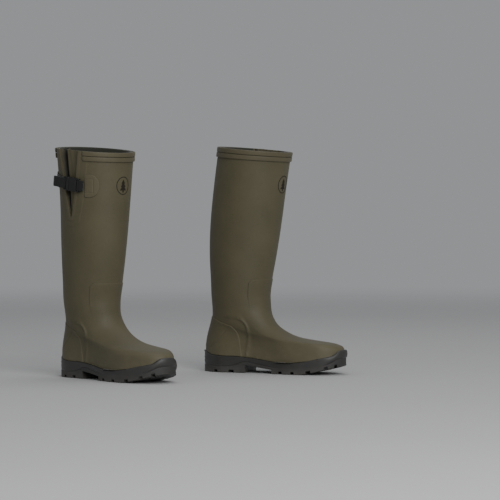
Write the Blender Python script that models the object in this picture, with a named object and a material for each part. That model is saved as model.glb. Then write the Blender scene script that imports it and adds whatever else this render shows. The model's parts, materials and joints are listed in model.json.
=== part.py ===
"""A pair of insulated rubber hunting boots with a buckled side gusset, standing one step apart.

Each boot is drawn in its own frame, the right boot's: +X runs from the heel to the toe, +Y to the
inner side, +Z up, and the ground is z = 0. The left boot is the same drawing mirrored in Y.
"""

import math

import bmesh
import bpy
import numpy as np
from mathutils import Matrix, Vector

MM = 0.001

# Overall sizes
SOLE_LENGTH = 304 * MM
BALL_WIDTH = 100 * MM  # of the upper, over the ball of the foot
BOOT_HEIGHT = 455 * MM  # ground to the back of the rim
RIM_DROP = 12 * MM  # the rim is this much lower at the front
INSTEP_INWARDS = 10 * MM  # the instep's crest lies this much towards the inner side
ANKLE_HEIGHT = 150 * MM
# How far each shaft leans forward at the rim, the power of its share of the height on the way, and how far the rim
# splays behind the gusset
LEAN = {"right": (16 * MM, 0.9, 7 * MM), "left": (31 * MM, 1.5, 0.0)}

# Walls
FIT = 0.3 * MM  # gap between pieces that touch
SKIN = 2.2 * MM
LINING = 4.5 * MM
PANEL = 1.2 * MM
BAND = 3.0 * MM
BAND_HEIGHT = 10 * MM
BAND_GAP = 1 * MM

# Sole
FOXING = 3.5 * MM  # the sole stands this proud of the upper
BED_HEEL = 30 * MM  # height of the upper's underside
BED_BALL = 16.5 * MM
BED_TOE = 28 * MM
EDGE_CLEARANCE = 1 * MM  # from the sole's top edge to the panels above it
TOE_SPRING = 18 * MM
MIDSOLE_HEEL = 8 * MM
MIDSOLE_BALL = 5 * MM
SOLE_BEVEL = 2.5 * MM
TREAD_DEPTH = 5 * MM
TREAD_GROOVE = 6 * MM
FOOTBED = 4.5 * MM
FOOTBED_MARGIN = 2.5 * MM
FOOTBED_LIFT_CLEARANCE = 1 * MM
SHANK_WIDTH = 16 * MM
SHANK_THICK = 1.5 * MM

# Gusset and strap
GUSSET_AZIMUTH = math.radians(91)  # round the shaft from the heel towards the outer side
GUSSET_LENGTH = 130 * MM
GUSSET_HALF_WIDTH = 20.5 * MM
GUSSET_CURVE = 0.75  # how the opening widens towards the rim: 1 is straight-sided, less bulges
GUSSET_APEX_HALF = 1.2 * MM
GUSSET_FOLD = 13 * MM
GUSSET_SHEET = 1.4 * MM
WELT_WIDTH = 8 * MM
WELT = 1.2 * MM
CALF_RADIUS = 69 * MM  # turns widths round the shaft into angles
WEBBING_WIDTH = 20 * MM
WEBBING = 1.6 * MM
STRAP_DROP = 67 * MM  # strap's middle below the rim
STRAP_TILT = math.radians(9)
BUCKLE_AZIMUTH = math.radians(101)
BUCKLE_THICK = 6.4 * MM
BUCKLE_CLEARANCE = 1.2 * MM  # over the welt
STRAP_CLEARANCE = 3.3 * MM  # over the shaft
ANCHOR_GAP = 1.5 * MM  # from a strap's sewn end to its anchor
SOCKET_LENGTH = 18 * MM
SOCKET_WALL = 1.3 * MM
FRAME_BAR = 2.4 * MM
FRAME_SLOT = 3.6 * MM
PRONG_WIDTH = 3.2 * MM
PRONG_LENGTH = 13 * MM
PRONG_PLAY = 0.5 * MM
HALF_BUCKLE = WEBBING_WIDTH / 2 + 3.5 * MM
PLUG_THICK = BUCKLE_THICK - 2 * SOCKET_WALL - 2 * FIT
MOUTH = -SOCKET_LENGTH / 2  # the socket's open end, along the strap
FRONT_BAR = SOCKET_LENGTH / 2 + FRAME_SLOT  # near face of the socket's strap bar
SHOULDER = 7 * MM  # of the clip, between the socket's mouth and the ladder's slot
TONGUE_HALF = 3 * MM
ANCHOR_THICK = 3 * MM
ANCHOR_HEIGHT = 45 * MM
FRONT_ANCHOR = (math.radians(118), math.radians(143))
REAR_ANCHOR = (math.radians(40), math.radians(54))
BADGE_RADIUS = 18 * MM
BADGE_THICK = 0.8 * MM
BADGE_AZIMUTH = math.radians(186)
BADGE_DROP = 70 * MM

# Where the boots stand: the heel's centre in plan, and the way the toe points
HEEL_CENTRE_X = 37 * MM
STANCE = {
    "right": ((0.0, 0.0), math.radians(-46.5)),
    "left": ((284 * MM, 143 * MM), math.radians(-22.5)),
}

COLUMNS = 26
# Columns of the shaft's grid that follow the gusset: the collar's ends, the welt's edges, the slot's edges
COLLAR_REAR, WELT_REAR, SLOT_REAR, SLOT_FRONT, WELT_FRONT, COLLAR_FRONT = range(4, 10)

# Along the foot from heel to toe, and the half width there on each side, over the ball's whole width.
# A half width is for the middle of an oval, so it grows where the outline is blunter than one.
FOOT_OUTLINE = (
    # along, outer, inner
    (0.00, 0.59, 0.58),
    (0.11, 0.56, 0.55),
    (0.26, 0.42, 0.41),
    (0.40, 0.40, 0.35),
    (0.53, 0.46, 0.40),
    (0.65, 0.53, 0.49),
    (0.76, 0.58, 0.56),
    (0.84, 0.60, 0.62),
    (0.93, 0.64, 0.71),
    (1.00, 0.66, 0.74),
)
# Rings that climb the foot. x is over the sole's length, heights and half widths in millimetres.
FOOT_STATIONS = (
    # back x, back z, front x, front z, half width, share of the foot's outline, arch, narrowing ahead
    (0.017, 30.0, 0.980, 28.0, 46.0, 1.00, 0.0, 0.00),
    (0.012, 44.0, 0.988, 44.0, 46.0, 1.00, 0.0, 0.00),
    (0.013, 58.0, 0.972, 57.0, 46.0, 0.97, 0.0, 0.00),
    (0.021, 72.0, 0.925, 62.0, 45.5, 0.85, 0.5, 0.02),
    (0.034, 86.0, 0.833, 63.5, 45.5, 0.68, 1.2, 0.05),
    (0.043, 95.0, 0.740, 66.5, 46.0, 0.50, 2.4, 0.08),
    (0.052, 104.0, 0.643, 75.0, 47.0, 0.32, 4.0, 0.10),
    (0.058, 113.0, 0.556, 88.5, 47.5, 0.16, 5.0, 0.08),
    (0.059, 129.0, 0.490, 109.0, 48.5, 0.05, 4.0, 0.04),
    (0.054, 153.0, 0.455, 147.0, 52.0, 0.00, 0.0, 0.00),
)
# Sections of the shaft: share of the way from ankle to rim, half depth, half width, in millimetres.
SHAFT_SECTIONS = (
    (0.00, 60.0, 52.5),
    (0.14, 64.0, 55.5),
    (0.30, 69.8, 57.5),
    (0.55, 73.8, 62.0),
    (0.75, 74.0, 66.5),
    (1.00, 73.5, 72.0),
)
# Height of the sole's top edge over its length, in millimetres.
SOLE_EDGE = (
    (0.00, 43.5),
    (0.06, 37.0),
    (0.15, 33.5),
    (0.28, 32.5),
    (0.42, 28.5),
    (0.55, 23.5),
    (0.66, 22.5),
    (0.76, 26.0),
    (0.86, 32.5),
    (0.93, 37.0),
    (0.955, 39.5),
    (0.985, 48.0),
    (1.00, 50.0),
)
# Tread grooves across the sole, over its length, and the waist's gap: outer side, then inner side.
HEEL_GROOVES = (0.132, 0.232)
BALL_GROOVES = (0.576, 0.673, 0.786, 0.898)
WAIST_BACK = (0.309, 0.332)
WAIST_FRONT = (0.503, 0.530)
WAIST_HIGH = 15 * MM
WAIST_LOW = 8 * MM

COLOURS = {
    # colour in linear light, roughness, metallic
    "olive_rubber": ((0.088, 0.078, 0.046), 0.55, 0.0),
    "olive_gusset": ((0.062, 0.056, 0.033), 0.65, 0.0),
    "sole_rubber": ((0.030, 0.029, 0.028), 0.6, 0.0),
    "neoprene": ((0.055, 0.058, 0.050), 0.9, 0.0),
    "midsole_foam": ((0.10, 0.10, 0.10), 0.8, 0.0),
    "footbed_felt": ((0.06, 0.06, 0.055), 0.95, 0.0),
    "steel": ((0.45, 0.45, 0.46), 0.35, 1.0),
    "buckle_plastic": ((0.016, 0.016, 0.017), 0.4, 0.0),
    "webbing": ((0.012, 0.012, 0.012), 0.9, 0.0),
    "badge_print": ((0.022, 0.02, 0.015), 0.5, 0.0),
}


def smooth(table, column, at):
    """The value of a table's column at a place in its first column, on a smooth curve."""
    x = np.array([row[0] for row in table])
    y = np.array([row[column] for row in table])
    slope = np.gradient(y, x)
    k = np.clip(np.searchsorted(x, at, side="right") - 1, 0, len(x) - 2)
    h = x[k + 1] - x[k]
    s = np.clip((at - x[k]) / h, 0, 1)
    return (
        y[k] * (1 + 2 * s) * (1 - s) ** 2
        + y[k + 1] * s**2 * (3 - 2 * s)
        + h * slope[k] * s * (1 - s) ** 2
        + h * slope[k + 1] * s**2 * (s - 1)
    )


def ease(x):
    """0 to 1 with a level start and end."""
    x = np.clip(x, 0, 1)
    return x * x * (3 - 2 * x)


def along(u):
    """Place along the foot, from 0 at the heel to 1 at the toe, for an angle round an oval."""
    return (1 - np.cos(u)) / 2


def foot_half_width(u):
    """Signed width of the foot's outline at an angle: the outer side is -Y."""
    xi = along(u)
    outer = smooth(FOOT_OUTLINE, 1, xi)
    inner = smooth(FOOT_OUTLINE, 2, xi)
    return -np.sin(u) * BALL_WIDTH * np.where(np.sin(u) >= 0, outer, inner)


def bed_height(x):
    """Height of the upper's underside: level heel, down through the waist, up to the toe."""
    x = x / SOLE_LENGTH
    down = ease((x - 0.28) / 0.30)
    up = ease((x - 0.70) / 0.34)
    return BED_HEEL + (BED_BALL - BED_HEEL) * down + (BED_TOE - BED_BALL) * up


def edge_height(x):
    """Height of the sole's top edge."""
    return smooth(SOLE_EDGE, 1, np.clip(x / SOLE_LENGTH, 0, 1)) * MM


def tread_height(x):
    """Height of the sole's underside, which lifts under the toe."""
    return TOE_SPRING * np.clip((x / SOLE_LENGTH - 0.74) / 0.26, 0, None) ** 1.2


def midsole_thickness(x):
    """Thick under the heel, thin under the ball."""
    return MIDSOLE_HEEL + (MIDSOLE_BALL - MIDSOLE_HEEL) * ease((x / SOLE_LENGTH - 0.25) / 0.3)


def rim_height():
    """Mean height of the tilted rim."""
    return BOOT_HEIGHT - RIM_DROP / 2


def shaft_share(z):
    """0 at the ankle, 1 at the rim."""
    return np.clip((z - ANKLE_HEIGHT) / (rim_height() - ANKLE_HEIGHT), 0, None)


def shaft_centre(z, lean):
    """The shaft's middle line leans forward as it rises."""
    ankle = (FOOT_STATIONS[-1][0] + FOOT_STATIONS[-1][2]) / 2 * SOLE_LENGTH
    distance, power, _ = lean
    return ankle + distance * shaft_share(z) ** power


def splay(z, u, lean):
    """How far the rubber behind the gusset stands out, where the gusset is let out at the rim."""
    turn = np.mod(u, 2 * math.pi)
    around = ease((turn - math.radians(5)) / math.radians(45)) * ease((math.radians(104) - turn) / math.radians(26))
    climb = np.clip((z - rim_height() + GUSSET_LENGTH) / GUSSET_LENGTH, 0, 1)
    return lean[2] * climb**1.6 * around


def shaft_point(z, u, lean, proud=0.0):
    """A point of the shaft's skin at a height and an angle, standing proud of it by a distance."""
    share = np.clip(shaft_share(z), 0, 1)
    depth = smooth(SHAFT_SECTIONS, 1, share) * MM
    width = smooth(SHAFT_SECTIONS, 2, share) * MM
    normal = np.array([-np.cos(u) / depth, -np.sin(u) / width])
    normal = normal / np.linalg.norm(normal, axis=0)
    proud = proud + splay(z, u, lean)
    x = shaft_centre(z, lean) - depth * np.cos(u) + proud * normal[0]
    y = -width * np.sin(u) + proud * normal[1]
    return np.stack([x, y, z + 0 * u], axis=-1)


def gusset_angles(z):
    """Angles of the six gusset columns at a height: three each side of the gusset's middle."""
    opening = np.clip((z - (rim_height() - GUSSET_LENGTH)) / GUSSET_LENGTH, 0, 1)
    slot = GUSSET_APEX_HALF + (GUSSET_HALF_WIDTH - GUSSET_APEX_HALF) * opening**GUSSET_CURVE
    reach = np.array([slot, slot + WELT_WIDTH, slot + WELT_WIDTH + 2 * FIT]) / CALF_RADIUS
    return np.concatenate([-reach[::-1], reach]) + GUSSET_AZIMUTH


def shaft_columns(z):
    """Angles of all the columns at a height of the shaft, evenly spread away from the gusset."""
    special = gusset_angles(z)
    rest = COLUMNS - len(special)
    turn = np.linspace(special[-1], special[0] + 2 * math.pi, rest + 2)[1:-1]
    ahead = COLUMNS - 1 - COLLAR_FRONT
    return np.concatenate([turn[ahead:] - 2 * math.pi, special, turn[:ahead]])


def shaft_heights():
    """Mean heights of the shaft's rings. The slot's foot and the collar's bands have rings of their own."""
    rim = rim_height()
    apex = rim - GUSSET_LENGTH
    shaft = rim - ANKLE_HEIGHT
    middle = [apex + share * GUSSET_LENGTH for share in (0.3, 0.6)]
    collar = [rim - 2 * BAND_HEIGHT - BAND_GAP, rim - BAND_HEIGHT - BAND_GAP, rim - BAND_HEIGHT, rim]
    return [ANKLE_HEIGHT + 0.13 * shaft, ANKLE_HEIGHT + 0.32 * shaft, apex - WELT_WIDTH, apex] + middle + collar


def foot_ring(station):
    """One ring of the foot: an oval blended with the foot's outline, lowered at the sides and narrowed ahead."""
    back_x, back_z, front_x, front_z, half_width, share, arch, narrow = station
    u = np.arange(COLUMNS) * 2 * math.pi / COLUMNS
    xi = along(u)
    x = (back_x + (front_x - back_x) * xi) * SOLE_LENGTH
    z = (back_z + (front_z - back_z) * xi - arch * np.sin(u) ** 2) * MM
    oval = -np.sin(u) * half_width * MM
    ahead = ease((xi - 0.35) / 0.3)
    middle = (back_z + front_z) / 2
    crest = INSTEP_INWARDS * ease((middle - 58) / 14) * (1 - ease((middle - 104) / 40))
    y = (1 - narrow * ahead) * (share * foot_half_width(u) + (1 - share) * oval) + crest * ahead * np.cos(u) ** 2
    return np.stack([x, y, z], axis=-1)


def shaft_ring(z, lean):
    """One ring of the shaft, tilted with the rim as it nears it."""
    u = shaft_columns(z)
    if z < rim_height() - GUSSET_LENGTH - 2 * WELT_WIDTH:
        u = np.arange(COLUMNS) * 2 * math.pi / COLUMNS
    tilted = z + RIM_DROP / 2 * shaft_share(z) ** 2 * np.cos(u)
    return np.stack([shaft_point(t, a, lean) for t, a in zip(tilted, u)])


def towards_spine(ring, share):
    """The ring drawn in towards the foot's middle line: share 1 is the ring, 0 the line."""
    xi = along(np.arange(COLUMNS) * 2 * math.pi / COLUMNS)
    spine = np.stack([(0.14 + 0.68 * xi) * SOLE_LENGTH, 0 * xi, 0 * xi], axis=-1)
    return spine + (ring - spine) * share


def on_bed(ring, drop=0.0):
    """The ring laid on the upper's underside, or below it."""
    laid = ring.copy()
    laid[:, 2] = bed_height(laid[:, 0]) - drop
    return laid


class Sheet:
    """A surface with no thickness: points, faces, and at each point the step that moves every face by one."""

    def __init__(self, rows, closed):
        bm = bmesh.new()
        count = len(rows[0])
        verts = [[bm.verts.new(p) for p in row] for row in rows]
        cells = count if closed else count - 1
        tag = bm.faces.layers.int.new("cell")
        for r in range(len(rows) - 1):
            for c in range(cells):
                d = (c + 1) % count
                face = bm.faces.new((verts[r][c], verts[r][d], verts[r + 1][d], verts[r + 1][c]))
                face[tag] = r * count + c
        bmesh.ops.remove_doubles(bm, verts=bm.verts, dist=1e-7)
        bm.normal_update()
        bm.verts.ensure_lookup_table()
        bm.verts.index_update()
        self.points = np.array([v.co[:] for v in bm.verts])
        self.steps = np.array([(v.normal * v.calc_shell_factor())[:] for v in bm.verts])
        self.faces = [(divmod(f[tag], count), [v.index for v in f.verts]) for f in bm.faces]
        bm.free()

    def layer(self, outside, inside, keep=lambda row, column: True):
        """A solid between two distances from the sheet, over the cells that are kept."""
        faces = [indices for cell, indices in self.faces if keep(*cell)]
        used = sorted({i for f in faces for i in f})
        at = {i: n for n, i in enumerate(used)}
        n = len(used)
        points = np.concatenate(
            [self.points[used] + d * self.steps[used] for d in (outside, inside)]
        )
        edges = {(a, b) for f in faces for a, b in zip(f, f[1:] + f[:1])}
        walls = [
            (at[b], at[a], at[a] + n, at[b] + n) for a, b in sorted(edges) if (b, a) not in edges
        ]
        skins = [[at[i] for i in f] for f in faces]
        skins += [[at[i] + n for i in reversed(f)] for f in faces]
        return points, skins + walls


def boot_sheet(lean):
    """The upper's skin, from the middle of its underside up to the rim. Row 2 is the feather edge."""
    rings = [foot_ring(station) for station in FOOT_STATIONS]
    rings[0] = on_bed(rings[0])
    rings[1][:, 2] = edge_height(rings[1][:, 0]) + EDGE_CLEARANCE
    under = [on_bed(towards_spine(rings[0], share)) for share in (0.0, 0.55)]
    shaft = [shaft_ring(z, lean) for z in shaft_heights()]
    return Sheet(under + rings + shaft, closed=True)


FEATHER_ROW = 2
EDGE_ROW = 3
SHAFT_ROW = FEATHER_ROW + len(FOOT_STATIONS)
SLOT_FOOT_ROW = SHAFT_ROW + 2
APEX_ROW = SHAFT_ROW + 3
LOWER_BAND_ROW = SHAFT_ROW + 6
UPPER_BAND_ROW = SHAFT_ROW + 8


def in_shell(row, column):
    """The rubber skin is open between the slot's edges."""
    return not (row >= APEX_ROW and column == SLOT_REAR)


def in_lining(row, column):
    """The lining stops at the welt, behind which the gusset is bonded."""
    return not (row >= SLOT_FOOT_ROW and WELT_REAR <= column < WELT_FRONT)


def in_welt(row, column):
    """A V-shaped strip on each side of the slot, joined below its foot."""
    if row == SLOT_FOOT_ROW:
        return WELT_REAR <= column < WELT_FRONT
    return row >= APEX_ROW and column in (WELT_REAR, SLOT_FRONT)


def in_band(band_row):
    """A collar band runs round the rim from one side of the gusset to the other."""
    return lambda row, column: row == band_row and not COLLAR_REAR <= column < COLLAR_FRONT


def in_heel_guard(row, column):
    """Round the heel, from the sole's edge up to the ankle."""
    return EDGE_ROW <= row < EDGE_ROW + 6 and (column < 5 or column >= COLUMNS - 5)


def in_shin_guard(row, column):
    """Over the front of the ankle."""
    middle = COLUMNS // 2
    return SHAFT_ROW - 2 <= row < SHAFT_ROW and middle - 4 <= column < middle + 4


class Boot:
    """One boot: where it stands, which way round it is, and the making of its named pieces."""

    def __init__(self, side):
        self.side = side
        self.mirror = 1 if side == "right" else -1
        self.lean = LEAN[side]
        (x, y), heading = STANCE[side]
        self.stand = bpy.data.objects.new(side + "_stance", None)
        bpy.context.scene.collection.objects.link(self.stand)
        self.stand.rotation_euler = (0, 0, heading)
        heel = Matrix.Rotation(heading, 3, "Z") @ Vector((HEEL_CENTRE_X, 0, 0))
        self.stand.location = Vector((x, y, 0)) - heel

    def place(self, bm, name, material, pivot=(0, 0, 0)):
        """Links a mesh drawn in the right boot's frame as this boot's piece, with its origin at pivot."""
        bmesh.ops.translate(bm, verts=bm.verts, vec=-Vector(pivot))
        if self.mirror < 0:
            bmesh.ops.scale(bm, vec=(1, -1, 1), verts=bm.verts)
            bmesh.ops.reverse_faces(bm, faces=bm.faces)
        mesh = bpy.data.meshes.new(self.side + "_" + name)
        bm.to_mesh(mesh)
        bm.free()
        mesh.shade_smooth()
        mesh.set_sharp_from_angle(angle=math.radians(35))
        mesh.materials.append(material_named(material))
        piece = bpy.data.objects.new(mesh.name, mesh)
        bpy.context.scene.collection.objects.link(piece)
        piece.parent = self.stand
        piece.location = (pivot[0], self.mirror * pivot[1], pivot[2])
        return piece

    def place_faces(self, points_and_faces, name, material, pivot=(0, 0, 0)):
        """place() for a list of points and a list of faces."""
        points, faces = points_and_faces
        bm = bmesh.new()
        verts = [bm.verts.new(p) for p in points]
        for face in faces:
            bm.faces.new([verts[i] for i in face])
        bmesh.ops.triangulate(bm, faces=bm.faces)
        return self.place(bm, name, material, pivot)


def material_named(name):
    """The Principled material of that name, made the first time it is asked for."""
    material = bpy.data.materials.get(name)
    if material is None:
        colour, roughness, metallic = COLOURS[name]
        material = bpy.data.materials.new(name)
        material.use_nodes = True
        shader = material.node_tree.nodes["Principled BSDF"]
        shader.inputs["Base Color"].default_value = (*colour, 1)
        shader.inputs["Roughness"].default_value = roughness
        shader.inputs["Metallic"].default_value = metallic
        material.diffuse_color = (*colour, 1)
    return material


def cut(piece, cutter):
    """Cuts piece with cutter, which is only a helper."""
    cutter.hide_render = True
    cutter.display_type = "WIRE"
    modifier = piece.modifiers.new(cutter.name, "BOOLEAN")
    modifier.operation = "DIFFERENCE"
    modifier.solver = "EXACT"
    modifier.object = cutter


def closed_loft(rings):
    """A solid from rings that start and end drawn in to a line."""
    sheet = Sheet(rings, closed=True)
    return sheet.points, [indices for _, indices in sheet.faces]


def boxes(spans):
    """One mesh holding a box for each span of low corner and high corner."""
    bm = bmesh.new()
    for low, high in spans:
        low, high = Vector(low), Vector(high)
        middle = Matrix.Translation((low + high) / 2)
        bmesh.ops.create_cube(bm, size=1, matrix=middle @ Matrix.Diagonal((*(high - low), 1)))
    return bm


def prism(outline, low, high):
    """The outline in X and Y, drawn out from z low to z high."""
    bm = bmesh.new()
    face = bm.faces.new([bm.verts.new((x, y, low)) for x, y in outline])
    made = bmesh.ops.extrude_face_region(bm, geom=[face])
    up = [v for v in made["geom"] if isinstance(v, bmesh.types.BMVert)]
    bmesh.ops.translate(bm, verts=up, vec=(0, 0, high - low))
    bmesh.ops.recalc_face_normals(bm, faces=bm.faces)
    return bm


def soft_layers(boot):
    """The skin, its lining and every panel bonded to it, all grown from one sheet so that they nest."""
    sheet = boot_sheet(boot.lean)
    boot.place_faces(sheet.layer(0, -SKIN, in_shell), "upper_shell", "olive_rubber")
    lining = SKIN + FIT
    boot.place_faces(sheet.layer(-lining, -lining - LINING, in_lining), "lining", "neoprene")
    for name, keep, thickness in (
        ("heel_guard", in_heel_guard, PANEL),
        ("shin_guard", in_shin_guard, PANEL),
        ("gusset_welt", in_welt, WELT),
        ("collar_band_lower", in_band(LOWER_BAND_ROW), BAND),
        ("collar_band_upper", in_band(UPPER_BAND_ROW), BAND),
    ):
        boot.place_faces(sheet.layer(FIT + thickness, FIT, keep), name, "olive_rubber")


def gusset(boot):
    """A sheet folded inwards between the slot's edges, bonded behind them and behind the slot's foot."""
    apex = rim_height() - GUSSET_LENGTH
    heights = [z for z in shaft_heights() if z >= apex - WELT_WIDTH - FIT]
    heights[0] += 2 * FIT
    rows = []
    for z in heights:
        turn = gusset_angles(z)
        opening = max(0.0, (z - apex) / GUSSET_LENGTH)
        margin = 3 * FIT / CALF_RADIUS
        fold_at = turn[2] + 0.3 * (turn[3] - turn[2])
        angles = np.array([turn[1] + margin, turn[2], fold_at, turn[3], turn[4] - margin])
        depths = SKIN + FIT + np.array([0, 0, GUSSET_FOLD * opening, 0, 0])
        tilted = z + RIM_DROP / 2 * shaft_share(z) ** 2 * np.cos(angles)
        rows.append([shaft_point(t, a, boot.lean, -d) for t, a, d in zip(tilted, angles, depths)])
    sheet = Sheet(rows, closed=False)
    boot.place_faces(sheet.layer(0, -GUSSET_SHEET), "gusset", "olive_gusset")


def sole_outline(inset=0.0):
    """The sole's outline: the upper's, standing proud by the foxing."""
    u = np.arange(COLUMNS) * 2 * math.pi / COLUMNS
    x = inset + (SOLE_LENGTH - 2 * inset) * along(u)
    y = foot_half_width(u) - np.sin(u) * (FOXING - inset)
    return np.stack([x, y, 0 * u], axis=-1)


def at_height(ring, height):
    """The ring with its heights set by a function of x."""
    laid = ring.copy()
    laid[:, 2] = height(laid[:, 0])
    return laid


def cavity_floor(x):
    """Height of the floor that the midsole lies on."""
    return bed_height(x) - midsole_thickness(x) - 2 * FIT


def outsole(boot):
    """A rubber cup round the upper and the midsole, with a raised waist and grooves across its tread."""
    feather = foot_ring(FOOT_STATIONS[0])
    edge = foot_ring(FOOT_STATIONS[1])
    inner = feather.copy()
    inner[:, :2] += FIT * outward(feather)
    rim = edge.copy()
    rim[:, :2] += FIT * outward(edge)
    bevelled = sole_outline(SOLE_BEVEL)
    rings = [
        at_height(towards_spine(bevelled, 0.0), tread_height),
        at_height(towards_spine(bevelled, 0.55), tread_height),
        at_height(bevelled, tread_height),
        at_height(sole_outline(), lambda x: tread_height(x) + SOLE_BEVEL),
        at_height(sole_outline(), edge_height),
        at_height(rim, edge_height),
        at_height(inner, lambda x: bed_height(x) - FIT),
        at_height(inner, cavity_floor),
        at_height(towards_spine(inner, 0.55), cavity_floor),
        at_height(towards_spine(inner, 0.0), cavity_floor),
    ]
    sole = boot.place_faces(closed_loft(rings), "outsole", "sole_rubber")
    wide = BALL_WIDTH
    half = TREAD_GROOVE / 2
    grooves = [
        ((at * SOLE_LENGTH - half, -wide, -TREAD_DEPTH), (at * SOLE_LENGTH + half, wide, groove_top(at)))
        for at in HEEL_GROOVES + BALL_GROOVES
    ]
    cut(sole, boot.place(boxes(grooves), "tread_cutter", "sole_rubber"))
    cut(sole, boot.place(waist_gap(wide), "waist_cutter", "sole_rubber"))


def outward(ring):
    """Unit steps out of a ring, in plan."""
    tangent = np.roll(ring, -1, axis=0) - np.roll(ring, 1, axis=0)
    normal = np.stack([tangent[:, 1], -tangent[:, 0]], axis=-1)
    normal /= np.linalg.norm(normal, axis=1, keepdims=True)
    middle = ring[:, :2].mean(axis=0)
    facing = np.sum(normal * (ring[:, :2] - middle), axis=1, keepdims=True)
    return normal * np.sign(facing)


def groove_top(share):
    """Top of a tread groove at a share of the sole's length."""
    return float(tread_height(share * SOLE_LENGTH)) + TREAD_DEPTH


def waist_gap(wide):
    """The block cut out between the heel and the ball: slanting in plan, and lower towards the ball."""
    bm = boxes([((0, -1, -1), (1, 1, 1))])
    for v in bm.verts:
        inner = v.co.y > 0
        back, front = (ends[inner] * SOLE_LENGTH for ends in (WAIST_BACK, WAIST_FRONT))
        slope = (front - back) / BALL_WIDTH
        at_front = v.co.x > 0.5
        v.co.x = front if at_front else back
        v.co.y = wide / 2 * (1.2 if inner else -1.2)
        v.co.z = (WAIST_LOW if at_front else WAIST_HIGH) if v.co.z > 0 else -TREAD_DEPTH * slope
    return bm


def midsole(boot):
    """A foam layer that fills the cup under the upper, with a pocket for the shank."""
    feather = foot_ring(FOOT_STATIONS[0])
    layers = []
    for low, shares in ((True, (0.0, 0.55, 1.0)), (False, (1.0, 0.55, 0.0))):
        layers += [
            at_height(towards_spine(feather, s), lambda x: bed_height(x) - FIT - low * midsole_thickness(x))
            for s in shares
        ]
    foam = boot.place_faces(closed_loft(layers), "midsole", "midsole_foam")
    cut(foam, boot.place(shank_strip(FIT, 3 * SHANK_THICK), "shank_cutter", "steel"))
    boot.place(shank_strip(0.0, 0.0), "shank", "steel")


def shank_strip(grow, rise):
    """The strip that stiffens the waist, lying just under the midsole's top. grow and rise make its pocket."""
    x = np.linspace(0.24 * SOLE_LENGTH - grow, 0.58 * SOLE_LENGTH + grow, 9)
    top = bed_height(x) - 2 * FIT + rise
    low = bed_height(x) - 2 * FIT - SHANK_THICK - grow
    half = SHANK_WIDTH / 2 + grow
    bm = bmesh.new()
    loops = [
        [bm.verts.new((a, s * half, z)) for s, z in ((-1, l), (1, l), (1, t), (-1, t))]
        for a, l, t in zip(x, low, top)
    ]
    for a, b in zip(loops, loops[1:]):
        for i in range(4):
            j = (i + 1) % 4
            bm.faces.new((a[i], a[j], b[j], b[i]))
    bm.faces.new(loops[0])
    bm.faces.new(loops[-1])
    bmesh.ops.recalc_face_normals(bm, faces=bm.faces)
    return bm


def footbed_floor():
    """Height of the lining's inner floor above the bed."""
    return SKIN + FIT + LINING


def footbed_pivot():
    """The footbed lifts out heel first, about its toe end."""
    x = 0.93 * SOLE_LENGTH
    return (x, 0.0, float(bed_height(x)) + footbed_floor())


def footbed(boot):
    """A loose insole on the lining's floor."""
    feather = foot_ring(FOOT_STATIONS[0])
    inner = feather.copy()
    inner[:, :2] -= (footbed_floor() + FOOTBED_MARGIN) * outward(feather)
    low = footbed_floor() + FOOTBED_LIFT_CLEARANCE
    layers = [at_height(towards_spine(inner, s), lambda x: bed_height(x) + low) for s in (0.0, 0.55, 1.0)]
    layers += [
        at_height(towards_spine(inner, s), lambda x: bed_height(x) + low + FOOTBED) for s in (1.0, 0.55, 0.0)
    ]
    boot.place_faces(closed_loft(layers), "footbed", "footbed_felt", footbed_pivot())


def strap_height(u):
    """Height of the strap's middle: it rises towards the back."""
    return rim_height() - STRAP_DROP + math.sin(STRAP_TILT) * (BUCKLE_AZIMUTH - u) * CALF_RADIUS


def buckle_frame(boot):
    """Right boot's frame of the buckle: X along the strap to the front, Y up across it, Z outwards."""
    z = strap_height(BUCKLE_AZIMUTH)
    here = Vector(shaft_point(z, BUCKLE_AZIMUTH, boot.lean))
    ahead = Vector(shaft_point(z, BUCKLE_AZIMUTH + 0.01, boot.lean)) - here
    above = Vector(shaft_point(z + 1 * MM, BUCKLE_AZIMUTH, boot.lean)) - here
    out = ahead.cross(above).normalized()
    level = Vector((0, 0, 1)).cross(out).normalized()
    forwards = level * math.cos(STRAP_TILT) - out.cross(level) * math.sin(STRAP_TILT)
    turn = Matrix((forwards, out.cross(forwards), out)).transposed().to_4x4()
    standoff = WELT + BUCKLE_CLEARANCE + BUCKLE_THICK / 2
    return Matrix.Translation(here + standoff * out) @ turn


def in_frame(bm, frame):
    """The mesh carried from the buckle's frame into the boot's."""
    bmesh.ops.transform(bm, matrix=frame, verts=bm.verts)
    return bm


def socket(boot):
    """The buckle's female half: a flat sleeve with a window in each edge, and a bar for the webbing."""
    half_thick = BUCKLE_THICK / 2
    bm = boxes([((MOUTH, -HALF_BUCKLE, -half_thick), (FRONT_BAR + FRAME_BAR, HALF_BUCKLE, half_thick))])
    body = boot.place(in_frame(bm, buckle_frame(boot)), "buckle_socket", "buckle_plastic")
    hollow = half_thick - SOCKET_WALL
    room = WEBBING_WIDTH / 2 + 2 * FIT
    window_end = MOUTH + PRONG_LENGTH + 2 * FIT
    spans = [
        ((MOUTH - FIT, -HALF_BUCKLE - FIT, -hollow), (window_end, HALF_BUCKLE + FIT, hollow)),
        ((SOCKET_LENGTH / 2, -room, -BUCKLE_THICK), (FRONT_BAR, room, BUCKLE_THICK)),
    ]
    for number, span in enumerate(spans):
        cutter = in_frame(boxes([span]), buckle_frame(boot))
        cut(body, boot.place(cutter, f"socket_cutter_{number}", "buckle_plastic"))
    start, stop, wide = FRONT_BAR - FIT, FRONT_BAR + 2 * FRAME_BAR, room - FIT
    shave = [
        ((start, -wide, s * half_thick - WEBBING), (stop, wide, s * half_thick + WEBBING)) for s in (-1, 1)
    ]
    cut(body, boot.place(in_frame(boxes(shave), buckle_frame(boot)), "bar_cutter", "buckle_plastic"))


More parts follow.
